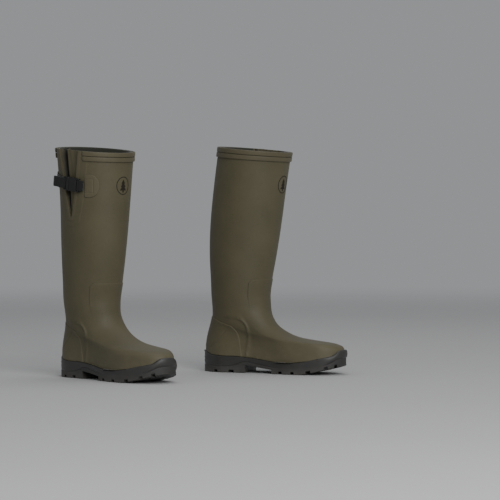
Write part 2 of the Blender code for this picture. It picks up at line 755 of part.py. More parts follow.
def clip(boot):
    """The male half: a ladder frame for the webbing and a tongue, with a squeeze prong on each side."""
    frame = buckle_frame(boot)
    pivot = frame.translation
    back = MOUTH - FIT
    half_thick = BUCKLE_THICK / 2
    ladder = SHOULDER + FRAME_SLOT + FRAME_BAR
    plate = ((back - ladder, -HALF_BUCKLE, -half_thick), (back, HALF_BUCKLE, half_thick))
    tongue = (
        (back - FRAME_BAR / 2, -TONGUE_HALF, -PLUG_THICK / 2),
        (back + PRONG_LENGTH, TONGUE_HALF, PLUG_THICK / 2),
    )
    body = boot.place(in_frame(boxes([plate]), frame), "buckle_clip", "buckle_plastic", pivot)
    room = WEBBING_WIDTH / 2 + 2 * FIT
    slot = ((back - SHOULDER - FRAME_SLOT, -room, -BUCKLE_THICK), (back - SHOULDER, room, BUCKLE_THICK))
    start, stop, wide = back - 2 * ladder, back - SHOULDER - FIT, room - FIT
    shave = [
        ((start, -wide, s * half_thick - WEBBING), (stop, wide, s * half_thick + WEBBING)) for s in (-1, 1)
    ]
    cut(body, boot.place(in_frame(boxes([slot]), frame), "ladder_cutter", "buckle_plastic"))
    cut(body, boot.place(in_frame(boxes(shave), frame), "ladder_bar_cutter", "buckle_plastic"))
    added = boot.place(in_frame(boxes([tongue]), frame), "tongue", "buckle_plastic")
    cut(body, added)
    body.modifiers[-1].operation = "UNION"
    for name, sign in (("upper", 1), ("lower", -1)):
        prong(boot, name, sign, frame)



def prong_pivot(sign):
    """The prong's root on the frame, in the buckle's frame."""
    return Vector((MOUTH, sign * (HALF_BUCKLE - PRONG_WIDTH / 2 - 2 * MM), 0))


def prong(boot, name, sign, frame):
    """A springy arm with a finger pad, which lies in the socket's window."""
    root = prong_pivot(sign)
    half = PRONG_WIDTH / 2
    reach = PRONG_LENGTH - PRONG_PLAY
    pad = HALF_BUCKLE - abs(root.y)  # the pad comes out as far as the socket's edge
    outline = [
        (0, -half), (0.55 * reach, -half), (reach, -half * 0.4), (reach, half * 1.2),
        (0.85 * reach, pad), (0.45 * reach, pad), (0.25 * reach, half), (0, half),
    ]
    outline = [(root.x + x, root.y + sign * y) for x, y in outline]
    bm = prism(outline, -PLUG_THICK / 2, PLUG_THICK / 2)
    pivot = frame @ root
    boot.place(in_frame(bm, frame), "clip_prong_" + name, "buckle_plastic", pivot)


def strip(path, thickness):
    """Outline of a band of one thickness along a path in a plane."""
    path = np.array(path)
    step = np.gradient(path, axis=0)
    step /= np.linalg.norm(step, axis=1, keepdims=True)
    side = np.stack([-step[:, 1], step[:, 0]], axis=-1) * thickness / 2
    return [tuple(p) for p in path + side] + [tuple(p) for p in (path - side)[::-1]]


def webbing(boot, name, path, thickness=WEBBING):
    """A webbing strap along a path of strap and outward distances in the buckle's frame."""
    half = WEBBING_WIDTH / 2
    bm = prism([(x, z) for x, z in strip(path, thickness)], -half, half)
    # The prism stands on X and Y, so its Y is turned to point outwards and its Z across the strap.
    stood = Matrix(((1, 0, 0, 0), (0, 0, 1, 0), (0, 1, 0, 0), (0, 0, 0, 1)))
    bmesh.ops.transform(bm, matrix=stood, verts=bm.verts)
    bmesh.ops.recalc_face_normals(bm, faces=bm.faces)
    return boot.place(in_frame(bm, buckle_frame(boot)), name, "webbing")


def surface_in_frame(boot, u, proud):
    """Strap and outward distances of a place on the shaft under the strap."""
    inverse = buckle_frame(boot).inverted()
    p = inverse @ Vector(shaft_point(strap_height(u), u, boot.lean, proud))
    return (p.x, p.z)


def straps(boot):
    """The fixed loop through the socket's bar, and the long strap through the clip's ladder with its tail."""
    layer = WEBBING / 2 + STRAP_CLEARANCE  # of the webbing's middle over the shaft
    bar_side = BUCKLE_THICK / 2 - WEBBING / 2
    slot_middle = SOCKET_LENGTH / 2 + FRAME_SLOT / 2
    near = FRONT_ANCHOR[0] - ANCHOR_GAP / CALF_RADIUS
    step = WEBBING + FIT
    path = [
        surface_in_frame(boot, near, layer + step),
        (FRONT_BAR + FRAME_BAR + 1.5 * MM, bar_side),
        (slot_middle + 0.6 * MM, bar_side),
        (slot_middle - 0.2 * MM, bar_side - 1 * MM),
        (slot_middle - 0.2 * MM, 1 * MM - bar_side),
        (slot_middle + 0.6 * MM, -bar_side),
        (FRONT_BAR + FRAME_BAR + 0.5 * MM, -bar_side),
        surface_in_frame(boot, near, layer),
    ]
    webbing(boot, "strap_loop", path)
    slot_at = MOUTH - FIT - SHOULDER - FRAME_SLOT / 2
    bar_end = MOUTH - FIT - SHOULDER - FRAME_SLOT - FRAME_BAR
    far = REAR_ANCHOR[1] + ANCHOR_GAP / CALF_RADIUS
    on_shaft = [surface_in_frame(boot, u, layer) for u in np.linspace(far, far + 0.33, 4)]
    path = on_shaft + [
        (bar_end, -bar_side),
        (slot_at - 0.6 * MM, -bar_side),
        (slot_at + 0.2 * MM, 1 * MM - bar_side),
        (slot_at + 0.2 * MM, bar_side - 1 * MM),
        (slot_at - 0.6 * MM, bar_side),
        (bar_end - 2 * MM, bar_side),
        (bar_end - 13 * MM, bar_side - 1 * MM),
        (bar_end - 24 * MM, bar_side - 3 * MM),
    ]
    webbing(boot, "strap_long", path)


def patch(boot, name, outline, thickness, material, proud=2 * FIT):
    """A pad on the shaft: rings of an outline of angle and height, from its middle out."""
    outline = np.array(outline)
    middle = outline.mean(axis=0)
    rows = []
    for share in (0.0, 0.5, 1.0):
        ring = middle + (outline - middle) * share
        rows.append([shaft_point(z, u, boot.lean, proud) for u, z in ring])
    sheet = Sheet(rows, closed=True)
    boot.place_faces(sheet.layer(thickness, 0), name, material)


def anchors(boot):
    """The two pads that hold the straps, and the printed badge on the shin."""
    height = ANCHOR_HEIGHT / 2
    front, end = FRONT_ANCHOR
    z = strap_height(front)
    turn = np.linspace(-math.pi / 2, math.pi / 2, 9)
    curved = [(front + (end - front) * (0.35 + 0.65 * math.cos(t)), z + height * math.sin(t)) for t in turn]
    straight = [(front, z + height * s) for s in (1, 0.33, -0.33, -1)]
    patch(boot, "strap_anchor_front", (straight + curved)[::-1], ANCHOR_THICK, "olive_rubber")
    back, far = REAR_ANCHOR
    z = strap_height(far)
    corners = [(far, 1), (back, 1), (back, -1), (far, -1)]
    ring = []
    for (u0, s0), (u1, s1) in zip(corners, corners[1:] + corners[:1]):
        ring += [(u0 + (u1 - u0) * k, z + height * 0.7 * (s0 + (s1 - s0) * k)) for k in (0, 1 / 3, 2 / 3)]
    patch(boot, "strap_anchor_rear", ring[::-1], ANCHOR_THICK, "olive_rubber")
    z = rim_height() - BADGE_DROP
    turn = np.arange(20) * 2 * math.pi / 20
    reach = BADGE_RADIUS / CALF_RADIUS
    badge = [(BADGE_AZIMUTH + reach * math.cos(t), z + BADGE_RADIUS * math.sin(t)) for t in turn]
    patch(boot, "badge", badge[::-1], BADGE_THICK, "badge_print")


def make_boot(side):
    """All the pieces of one boot."""
    boot = Boot(side)
    soft_layers(boot)
    gusset(boot)
    outsole(boot)
    midsole(boot)
    footbed(boot)
    socket(boot)
    clip(boot)
    straps(boot)
    anchors(boot)
    return boot


def centre_on_ground(boots):
    """Moves both boots so that the box round them stands centred on the origin."""
    bpy.context.view_layer.update()
    graph = bpy.context.evaluated_depsgraph_get()
    points = []
    for piece in bpy.context.scene.objects:
        if piece.type == "MESH" and not piece.hide_render:
            shown = piece.evaluated_get(graph)
            points += [shown.matrix_world @ v.co for v in shown.data.vertices]
    low = np.array(points).min(axis=0)
    high = np.array(points).max(axis=0)
    shift = Vector((-(low[0] + high[0]) / 2, -(low[1] + high[1]) / 2, -low[2]))
    for boot in boots:
        boot.stand.location += shift
    bpy.context.view_layer.update()


def main():
    """Clears the scene and builds the pair."""
    for old in list(bpy.data.objects):
        bpy.data.objects.remove(old)
    boots = [make_boot(side) for side in ("right", "left")]
    centre_on_ground(boots)
    return boots


main()
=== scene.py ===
# %% [markdown]
# # A pair of insulated rubber hunting boots
#
# A boot like this is built round a foot-shaped last: a foam sock goes on first, then sheets of soft rubber, then
# raised strips and guards, and at last a cup sole. Everything follows one skin, so this lesson works out that skin
# once, as a function of an angle round the leg and a level up it, and grows every piece from it.

import json
import math

import bmesh
import bpy
import numpy as np
from mathutils import Matrix, Vector


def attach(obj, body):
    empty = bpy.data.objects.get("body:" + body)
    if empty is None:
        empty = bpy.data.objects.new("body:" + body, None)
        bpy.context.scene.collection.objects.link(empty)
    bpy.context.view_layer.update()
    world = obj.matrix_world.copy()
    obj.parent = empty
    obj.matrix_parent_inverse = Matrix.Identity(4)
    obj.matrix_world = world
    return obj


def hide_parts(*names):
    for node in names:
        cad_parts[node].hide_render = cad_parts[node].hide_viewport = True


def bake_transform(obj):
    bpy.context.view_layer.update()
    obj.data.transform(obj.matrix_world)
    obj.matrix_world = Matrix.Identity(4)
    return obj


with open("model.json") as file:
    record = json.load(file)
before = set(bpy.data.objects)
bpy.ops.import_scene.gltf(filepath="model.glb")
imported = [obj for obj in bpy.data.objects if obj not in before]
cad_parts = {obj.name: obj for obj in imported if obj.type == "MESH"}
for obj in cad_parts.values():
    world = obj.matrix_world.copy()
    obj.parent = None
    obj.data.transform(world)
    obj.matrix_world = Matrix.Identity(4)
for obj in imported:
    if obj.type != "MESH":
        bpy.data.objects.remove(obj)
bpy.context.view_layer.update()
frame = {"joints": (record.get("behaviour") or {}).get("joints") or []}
joints = {joint["name"]: joint for joint in frame["joints"]}

# %% [markdown]
# ## Sizes
#
# These are the sizes of the solid model, in metres. Both boots share them. Only the lean of the shaft differs,
# because a walking leg leans over its front foot.

# %% Sizes
MM = 0.001
MIRROR = {"right": 1, "left": -1}
SOLE_LENGTH = 304 * MM
BALL_WIDTH = 100 * MM
RIM = 449 * MM  # mean height of the rim
RIM_DROP = 12 * MM
INSTEP_INWARDS = 10 * MM
ANKLE = 150 * MM
GUSSET_AZIMUTH = math.radians(91)
GUSSET_LENGTH = 130 * MM
APEX = RIM - GUSSET_LENGTH
# Lean forwards at the rim, its power on the way up, and how far the rim splays behind the gusset.
LEAN = {"right": (16 * MM, 0.9, 7 * MM), "left": (31 * MM, 1.5, 0.0)}
CALF_RADIUS = 69 * MM
FOXING = 3.5 * MM
EDGE_CLEARANCE = 1 * MM

# Place along the foot; half width of its outline on the outer and the inner side, over the ball's width.
FOOT_OUTLINE = np.array([
    (0.00, 0.59, 0.58), (0.11, 0.56, 0.55), (0.26, 0.42, 0.41), (0.40, 0.40, 0.35), (0.53, 0.46, 0.40),
    (0.65, 0.53, 0.49), (0.76, 0.58, 0.56), (0.84, 0.60, 0.62), (0.93, 0.64, 0.71), (1.00, 0.66, 0.74),
])
# Rings up the foot: back x and z, front x and z (x over the sole's length), half width, share of the outline, arch,
# narrowing ahead.
FOOT_RINGS = np.array([
    (0.017, 30.0, 0.980, 28.0, 46.0, 1.00, 0.0, 0.00), (0.012, 44.0, 0.988, 44.0, 46.0, 1.00, 0.0, 0.00),
    (0.013, 58.0, 0.972, 57.0, 46.0, 0.97, 0.0, 0.00), (0.021, 72.0, 0.925, 62.0, 45.5, 0.85, 0.5, 0.02),
    (0.034, 86.0, 0.833, 63.5, 45.5, 0.68, 1.2, 0.05), (0.043, 95.0, 0.740, 66.5, 46.0, 0.50, 2.4, 0.08),
    (0.052, 104.0, 0.643, 75.0, 47.0, 0.32, 4.0, 0.10), (0.058, 113.0, 0.556, 88.5, 47.5, 0.16, 5.0, 0.08),
    (0.059, 129.0, 0.490, 109.0, 48.5, 0.05, 4.0, 0.04), (0.054, 153.0, 0.455, 147.0, 52.0, 0.00, 0.0, 0.00),
])
# Sections of the shaft: share of the way up, half depth, half width.
SHAFT_SECTIONS = np.array([
    (0.00, 60.0, 52.5), (0.14, 64.0, 55.5), (0.30, 69.8, 57.5), (0.55, 73.8, 62.0), (0.75, 74.0, 66.5),
    (1.00, 73.5, 72.0),
])
# Height of the sole's top edge along its length.
SOLE_EDGE = np.array([
    (0.00, 43.5), (0.06, 37.0), (0.15, 33.5), (0.28, 32.5), (0.42, 28.5), (0.55, 23.5), (0.66, 22.5),
    (0.76, 26.0), (0.86, 32.5), (0.93, 37.0), (0.955, 39.5), (0.985, 48.0), (1.00, 50.0),
])
print("sole", SOLE_LENGTH, "m long, rim", RIM, "m high")

# %% [markdown]
# ## Curves through tables
#
# A table of a few measured places becomes a smooth curve with cubic pieces whose slopes match at the joins. Numpy
# works out all the asked places at once.


# %% Curves through tables
def smooth(table, column, at):
    """Cubic between rows: the value and slope of both ends, weighted by the four Hermite polynomials."""
    x, y = table[:, 0], table[:, column]
    slope = np.gradient(y, x)
    k = np.clip(np.searchsorted(x, at, side="right") - 1, 0, len(x) - 2)
    h = x[k + 1] - x[k]
    s = np.clip((at - x[k]) / h, 0, 1)
    ends = y[k] * (1 + 2 * s) * (1 - s) ** 2 + y[k + 1] * s**2 * (3 - 2 * s)
    return ends + h * s * (1 - s) * (slope[k] * (1 - s) - slope[k + 1] * s)


def ease(x):
    """3x^2 - 2x^3 between 0 and 1, level outside."""
    x = np.clip(x, 0, 1)
    return x * x * (3 - 2 * x)


def along(u):
    """Share of the way from heel to toe at an angle u round an oval: half of one less the cosine."""
    return (1 - np.cos(u)) / 2


def foot_half_width(u):
    """Minus the sine of the angle, times the outline's half width on that side."""
    xi = along(u)
    side = np.where(np.sin(u) >= 0, smooth(FOOT_OUTLINE, 1, xi), smooth(FOOT_OUTLINE, 2, xi))
    return -np.sin(u) * BALL_WIDTH * side


def bed_height(x):
    """The upper's underside: 30 mm at the heel, 16.5 at the ball and 28 at the toe, eased between."""
    x = x / SOLE_LENGTH
    return (30 - 13.5 * ease((x - 0.28) / 0.30) + 11.5 * ease((x - 0.70) / 0.34)) * MM


def edge_height(x):
    """The sole's top edge, a curve through its table."""
    return smooth(SOLE_EDGE, 1, np.clip(x / SOLE_LENGTH, 0, 1)) * MM


# %% [markdown]
# ## The skin of the boot
#
# Rings climb from the feather edge, where the upper meets the sole, over the instep and up the leg. Each ring has a
# back point and a front point, and an outline that starts as the foot's and turns into an oval. Reading every ring
# column as a curve of the mean height, called the level, makes the rings into one smooth surface.


# %% The skin of the boot
def rings_of(side):
    """Rows of level, back x, back z, front x, front z, half width, share of outline, arch and narrowing."""
    scale = np.array([SOLE_LENGTH, MM, SOLE_LENGTH, MM, MM, 1, MM, 1])
    foot = FOOT_RINGS * scale
    share = np.array([0.13, 0.25, 0.40, 0.55, 0.70, 0.85, 1.0])
    z = ANKLE + share * (RIM - ANKLE)
    ankle = (foot[-1, 0] + foot[-1, 2]) / 2
    distance, power, _ = LEAN[side]
    middle = ankle + distance * share**power
    depth, width = (smooth(SHAFT_SECTIONS, k, share) * MM for k in (1, 2))
    tilt = RIM_DROP / 2 * share**2
    shaft = np.stack(
        [middle - depth, z + tilt, middle + depth, z - tilt, width, 0 * z, 0 * z, 0 * z], axis=-1
    )
    rings = np.concatenate([foot, shaft])
    return np.column_stack([(rings[:, 1] + rings[:, 3]) / 2, rings])


RINGS = {side: rings_of(side) for side in MIRROR}
FEATHER_LEVEL, EDGE_LEVEL, NEXT_LEVEL = RINGS["right"][:3, 0]


def ring_point(side, u, level):
    """A point between the ring's back and front by along(u), out by a blend of the foot's outline and an oval,
    lowered at the sides by its arch and narrowed ahead. Behind the gusset the rim splays outwards."""
    back_x, back_z, front_x, front_z, half, share, arch, narrow = (
        smooth(RINGS[side], k, level) for k in range(1, 9)
    )
    xi = along(u)
    x = back_x + (front_x - back_x) * xi
    z = back_z + (front_z - back_z) * xi - arch * np.sin(u) ** 2
    near_edge = 1 - np.abs(level - EDGE_LEVEL) / np.where(
        level < EDGE_LEVEL, EDGE_LEVEL - FEATHER_LEVEL, NEXT_LEVEL - EDGE_LEVEL
    )
    near_bed = (EDGE_LEVEL - level) / (EDGE_LEVEL - FEATHER_LEVEL)
    z = z + ease(near_edge) * (edge_height(x) + EDGE_CLEARANCE - z)
    z = z + ease(near_bed) * (bed_height(x) - z)
    ahead = ease((xi - 0.35) / 0.3)
    crest = INSTEP_INWARDS * ease((level / MM - 58) / 14) * (1 - ease((level / MM - 104) / 40))
    y = (1 - narrow * ahead) * (share * foot_half_width(u) - (1 - share) * np.sin(u) * half)
    y = y + crest * ahead * np.cos(u) ** 2
    turn = np.mod(u, 2 * math.pi)
    around = ease((turn - math.radians(5)) / math.radians(45)) * ease((math.radians(104) - turn) / math.radians(26))
    splay = LEAN[side][2] * np.clip((level - APEX) / GUSSET_LENGTH, 0, 1) ** 1.6 * around
    return np.stack([x - splay * np.cos(u), y - splay * np.sin(u), z], axis=-1)


def skin(side, u, level, proud=0.0):
    """Point of the skin at an angle and a level. Over the foot it is a mean of three points 7 mm apart in level, so
    that the instep is soft. proud moves it out along the normal, the cross product of the two tangents."""
    u, level = np.broadcast_arrays(np.asarray(u, float), np.asarray(level, float))
    reach = ease((level - 48 * MM) / (14 * MM)) * (1 - ease((level - 110 * MM) / (50 * MM))) * 7 * MM
    points = sum(
        weight * ring_point(side, u, level + step * reach) for step, weight in ((-1, 0.25), (0, 0.5), (1, 0.25))
    )
    if np.any(proud):
        step = 2e-3
        du = skin(side, u + step, level) - skin(side, u - step, level)
        dl = skin(side, u, level + step / 4) - skin(side, u, level - step / 4)
        normal = np.cross(du, dl)
        normal /= np.linalg.norm(normal, axis=-1, keepdims=True) + 1e-12
        points = points + normal * np.asarray(proud, float)[..., None]
    return points


def level_at(side, u, z):
    """The level whose skin has height z at angle u, by halving the interval 18 times."""
    low = np.full(np.shape(z), FEATHER_LEVEL)
    high = np.full(np.shape(z), RIM + 10 * MM)
    for _ in range(18):
        middle = (low + high) / 2
        above = skin(side, u, middle)[..., 2] > z
        low, high = np.where(above, low, middle), np.where(above, middle, high)
    return (low + high) / 2


print("levels of the rings:", np.round(RINGS["right"][:, 0] / MM, 1))

# %% [markdown]
# ## Where each boot stands
#
# The two boots are one step apart and turned by different angles. The solid model's footbed hinge gives a point and
# the boot's sideways direction, and that fixes the turn and the place of a whole boot.


# %% Where each boot stands
def stance(side):
    """Turn about Z from the hinge's axis, then the shift that carries the hinge's own place onto it."""
    hinge = joints[side + "_footbed_lift"]
    across, place = hinge["axis"], hinge["pos_m"]
    turn = np.array(Matrix.Rotation(math.atan2(-across[0], across[1]), 3, "Z"))
    start = np.array(place) - turn @ np.array([0.93 * SOLE_LENGTH, 0, place[2]])
    return turn, start


STANCE = {side: stance(side) for side in MIRROR}


def to_world(side, points):
    """Mirrors the right boot's frame for the left one, then turns and shifts it."""
    turn, start = STANCE[side]
    return (points * np.array([1, MIRROR[side], 1])) @ turn.T + start


def to_boot(side, points):
    """The other way: from the world into the right boot's frame."""
    turn, start = STANCE[side]
    return ((np.asarray(points) - start) @ turn) * np.array([1, MIRROR[side], 1])


for side in MIRROR:
    print(side, "stands at", np.round(STANCE[side][1], 3))

# %% [markdown]
# ## Making a mesh from arrays
#
# Every piece is a grid of points and the quads between them. The signed volume, the sum of the little tetrahedra
# from the origin to each face, tells which way the faces point, so a mirrored boot comes out right side out.


# %% Making a mesh from arrays
def grid_quads(rows, columns, wrap=False, keep=None):
    """Corners of each cell of a grid, in order round it; keep is a mask of the cells."""
    r, c = np.meshgrid(np.arange(rows - 1), np.arange(columns if wrap else columns - 1), indexing="ij")
    d = (c + 1) % columns
    quads = np.stack([r * columns + c, r * columns + d, (r + 1) * columns + d, (r + 1) * columns + c], axis=-1)
    return quads.reshape(-1, 4) if keep is None else quads[keep]


def outward(points, quads):
    """The quads, turned round if the volume they enclose comes out negative."""
    a, b, c, d = (points[quads[:, k]] for k in range(4))
    volume = np.einsum("ij,ij->", a, np.cross(b, c)) + np.einsum("ij,ij->", a, np.cross(c, d))
    return quads if volume > 0 else quads[:, ::-1]


def make_piece(name, side, points, quads, body, material, replaces=(), uv=None, fields=None, sharp=40):
    """A mesh object from points in the right boot's frame. Doubles are merged, so seams and poles close. A piece
    with no body is left free, with no parent."""
    world = to_world(side, points.reshape(-1, 3))
    quads = outward(world, quads)
    mesh = bpy.data.meshes.new(f"{side}_{name}")
    mesh.from_pydata(world.tolist(), [], quads.tolist())
    corners = np.array([loop.vertex_index for loop in mesh.loops])
    if uv is not None:
        layer = mesh.uv_layers.new(name="UVMap")
        layer.data.foreach_set("uv", uv.reshape(-1, 2)[corners].ravel())
    for label, values in (fields or {}).items():
        field = mesh.attributes.new(label, "FLOAT", "POINT")
        field.data.foreach_set("value", np.asarray(values, np.float32).ravel())
    work = bmesh.new()
    work.from_mesh(mesh)
    bmesh.ops.remove_doubles(work, verts=work.verts, dist=2e-6)
    bmesh.ops.delete(work, geom=[v for v in work.verts if not v.link_faces], context="VERTS")
    work.to_mesh(mesh)
    work.free()
    mesh.shade_smooth()
    mesh.set_sharp_from_angle(angle=math.radians(sharp))
    mesh.materials.append(material)
    piece = bpy.data.objects.new(mesh.name, mesh)
    bpy.context.scene.collection.objects.link(piece)
    if body:
        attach(piece, body)
    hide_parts(*replaces)
    return piece


def both_skins(outer, inner, wrap=False, keep=None, seam=False):
    """Points and quads of a closed wall: outer skin, inner skin turned round, and a strip along every free edge.
    With seam, the first row closes on itself, so it gets no strip."""
    rows, columns = outer.shape[:2]
    cells = columns if wrap else columns - 1
    kept = np.ones((rows - 1, cells), bool) if keep is None else keep
    quads = grid_quads(rows, columns, wrap, kept)
    count = rows * columns
    index = np.arange(count).reshape(rows, columns)
    right = np.roll(index, -1, axis=1)[:, :cells]
    index = index[:, :cells]
    gap = np.zeros((1, cells), bool)
    below, above = np.vstack([gap | seam, kept[:-1]]), np.vstack([kept[1:], gap])
    side_gap = np.zeros((rows - 1, 1), bool)
    before = np.roll(kept, 1, axis=1) if wrap else np.hstack([side_gap, kept[:, :-1]])
    after = np.roll(kept, -1, axis=1) if wrap else np.hstack([kept[:, 1:], side_gap])
    edges = []
    for free, a, b in (
        (kept & ~below, index[:-1], right[:-1]),
        (kept & ~after, right[:-1], right[1:]),
        (kept & ~above, right[1:], index[1:]),
        (kept & ~before, index[1:], index[:-1]),
    ):
        edges.append(np.stack([b[free], a[free], a[free] + count, b[free] + count], axis=-1))
    points = np.concatenate([outer.reshape(-1, 3), inner.reshape(-1, 3)])
    return points, np.concatenate([quads, quads[:, ::-1] + count] + edges)


def normals_of(points, wrap=False):
    """Unit normals of a grid: the cross product of its column and row differences."""
    du = np.roll(points, -1, axis=1) - np.roll(points, 1, axis=1) if wrap else np.gradient(points, axis=1)
    normal = np.cross(du, np.gradient(points, axis=0))
    return normal / (np.linalg.norm(normal, axis=-1, keepdims=True) + 1e-12)


def swept(section, ends=True):
    """Points and quads of a closed section (rows along the path, columns round the section). Each end is drawn
    in to its centre, which the merge of doubles then closes."""
    if ends:
        first, last = (np.repeat(section[k].mean(axis=0)[None], section.shape[1], axis=0) for k in (0, -1))
        section = np.concatenate([first[None], section, last[None]])
    return section, grid_quads(*section.shape[:2], wrap=True)


# %% [markdown]
# ## Finishes
#
# Colours are written as the hex values a paint chart gives, and turned to linear light by one function. One other
# function adds a node. Everything else is the recipe of each real material.


# %% Colours and nodes
def linear(colour, alpha=1.0):
    """sRGB hex to linear light: the low end divided by 12.92, the rest a power of 2.4."""
    parts = [int(colour[k : k + 2], 16) / 255 for k in (1, 3, 5)]
    return (*[p / 12.92 if p <= 0.04045 else ((p + 0.055) / 1.055) ** 2.4 for p in parts], alpha)


def add_node(material, kind, sockets=None, **settings):
    """Adds a node with its settings. Each socket gets a value, or a link from another node's output."""
    node = material.node_tree.nodes.new("ShaderNode" + kind)
    for name, value in settings.items():
        setattr(node, name, value)
    for socket, value in (sockets or {}).items():
        if isinstance(value, bpy.types.NodeSocket):
            material.node_tree.links.new(value, node.inputs[socket])
        else:
            node.inputs[socket].default_value = value
    return node


def new_material(name):
    """A material with nodes and nothing but its output."""
    material = bpy.data.materials.new(name)
    material.use_nodes = True
    material.node_tree.nodes.clear()
    return material


def finish_material(material, shader):
    """Joins the shader to the output."""
    out = add_node(material, "OutputMaterial", {"Surface": shader.outputs[0]})
    out.is_active_output = True
    return material


# %% [markdown]
# ### Moulded natural rubber, matt lacquered
#
# The shaft is soft natural rubber, dipped and baked on its last, then given a matt lacquer so that it doesn't shine
# in the field. It shows a broad dull highlight, very slight unevenness from the hand-laid sheets, a fine grain from
# the lacquer, and dust that clings low down. Grain of 0.4 mm is about the finest that can show here, so the
# noise is set to about 1 mm.


# %% Rubber of the uppers
def lacquered_rubber(name, dark, light, roughness, waviness, grime=False):
    """Two close tones mixed by a slow noise, a quick noise for grain in the bump, and dust near the ground. If asked,
    painted shade darkens the cloth to near-black where the field of that name on the mesh is high, for the shadow in
    the fold."""
    m = new_material(name)
    place = add_node(m, "TexCoord").outputs["Object"]
    slow = add_node(m, "TexNoise", {"Vector": place, "Scale": 14.0, "Detail": 4.0, "Roughness": 0.6})
    quick = add_node(m, "TexNoise", {"Vector": place, "Scale": 900.0, "Detail": 2.0})
    scuff = add_node(m, "TexNoise", {"Vector": place, "Scale": 55.0, "Detail": 6.0, "Roughness": 0.7})
    tone = add_node(m, "MapRange", {"Value": slow.outputs["Fac"], "From Min": 0.3, "From Max": 0.7})
    base = add_node(m, "Mix", {"Factor": tone.outputs[0], "A": linear(dark), "B": linear(light)}, data_type="RGBA")
    speck = add_node(m, "MapRange", {"Value": quick.outputs["Fac"], "From Min": 0.35, "From Max": 0.75,
                                     "To Min": 0.0, "To Max": 0.10})
    grained = add_node(m, "Mix", {"Factor": speck.outputs[0], "A": base.outputs[2], "B": linear("#8A836B")},
                       data_type="RGBA")
    height = add_node(m, "SeparateXYZ", {"Vector": place}).outputs["Z"]
    low = add_node(m, "MapRange", {"Value": height, "From Min": 0.085, "From Max": 0.03, "To Max": 0.16})
    dusty = add_node(m, "Math", {0: low.outputs[0], 1: scuff.outputs["Fac"]}, operation="MULTIPLY")
    colour = add_node(m, "Mix", {"Factor": dusty.outputs[0], "A": grained.outputs[2], "B": linear("#9A927C")},
                      data_type="RGBA")
    # Painted shade: near-black mixed into the colour by the painted field, standing for the shadow down in the fold.
    if grime:
        painted = add_node(m, "Attribute", attribute_name="grime").outputs["Fac"]
        colour = add_node(m, "Mix", {"Factor": painted, "A": colour.outputs[2], "B": linear("#15140F")},
                          data_type="RGBA")
    rough = add_node(m, "MapRange", {"Value": scuff.outputs["Fac"], "From Min": 0.3, "From Max": 0.7,
                                     "To Min": roughness - 0.05, "To Max": roughness + 0.06})
    wave = add_node(m, "Bump", {"Height": slow.outputs["Fac"], "Strength": 0.25, "Distance": waviness})
    grain = add_node(m, "Bump", {"Height": quick.outputs["Fac"], "Strength": 0.16, "Distance": 0.0004,
                                 "Normal": wave.outputs[0]})
    shader = add_node(m, "BsdfPrincipled", {
        "Base Color": colour.outputs[2], "Roughness": rough.outputs[0], "IOR": 1.5,
        "Specular IOR Level": 0.32, "Normal": grain.outputs[0], "Sheen Weight": 0.04, "Sheen Roughness": 0.5,
    })
    return finish_material(m, shader)


OLIVE = lacquered_rubber("olive natural rubber, matt lacquered", "#4D4935", "#56513C", 0.58, 0.002)
OLIVE_TRIM = lacquered_rubber("olive natural rubber, moulded trim", "#504B38", "#5A5541", 0.54, 0.001)
# The gusset's cloth carries painted shade in its fold.
GUSSET_CLOTH = lacquered_rubber("rubberised stretch cloth, olive", "#4A4633", "#534E3A", 0.60, 0.002, grime=True)

# %% [markdown]
# ### Compression-moulded sole rubber
#
# The sole is a harder, carbon-filled rubber pressed in a steel mould. It is darker and greyer than the upper, with a
# satin face, and the mould is spark-eroded below the groove, which leaves a fine even stipple of about 1 mm.


# %% Rubber of the sole
def sole_rubber():
    """Grey with slow mottling. The stipple is a cell pattern, let through by the field painted on the mesh."""
    m = new_material("carbon-filled sole rubber, moulded")
    place = add_node(m, "TexCoord").outputs["Object"]
    slow = add_node(m, "TexNoise", {"Vector": place, "Scale": 30.0, "Detail": 5.0, "Roughness": 0.65})
    cells = add_node(m, "TexVoronoi", {"Vector": place, "Scale": 800.0})
    stipple = add_node(m, "Attribute", attribute_name="stipple").outputs["Fac"]
    pattern = add_node(m, "Math", {0: cells.outputs["Distance"], 1: stipple}, operation="MULTIPLY")
    colour = add_node(m, "Mix", {"Factor": slow.outputs["Fac"], "A": linear("#2B2A29"), "B": linear("#3B3A38")},
                      data_type="RGBA")
    height = add_node(m, "SeparateXYZ", {"Vector": place}).outputs["Z"]
    low = add_node(m, "MapRange", {"Value": height, "From Min": 0.018, "From Max": 0.0, "To Max": 0.35})
    dust = add_node(m, "Math", {0: low.outputs[0], 1: slow.outputs["Fac"]}, operation="MULTIPLY")
    dusty = add_node(m, "Mix", {"Factor": dust.outputs[0], "A": colour.outputs[2], "B": linear("#77736A")},
                     data_type="RGBA")
    rough = add_node(m, "MapRange", {"Value": stipple, "To Min": 0.42, "To Max": 0.62})
    broad = add_node(m, "Bump", {"Height": slow.outputs["Fac"], "Strength": 0.2, "Distance": 0.001})
    bump = add_node(m, "Bump", {"Height": pattern.outputs[0], "Strength": 0.5, "Distance": 0.0005,
                                "Normal": broad.outputs[0]})
    shader = add_node(m, "BsdfPrincipled", {
        "Base Color": dusty.outputs[2], "Roughness": rough.outputs[0], "IOR": 1.52,
        "Specular IOR Level": 0.5, "Normal": bump.outputs[0],
    })
    return finish_material(m, shader)


SOLE = sole_rubber()

# %% [markdown]
# ### Cloths, webbing and plastic
#
# The sock is neoprene foam with a jersey knit face, whose ribs are about 1.2 mm apart. The strap is nylon webbing
# with yarns about 1 mm apart, laid in a herringbone. The buckle is acetal, moulded in a lightly sparked tool. The footbed
# is pressed felt. Woven patterns read the piece's own UV map, which is laid out in metres, so that they follow it.


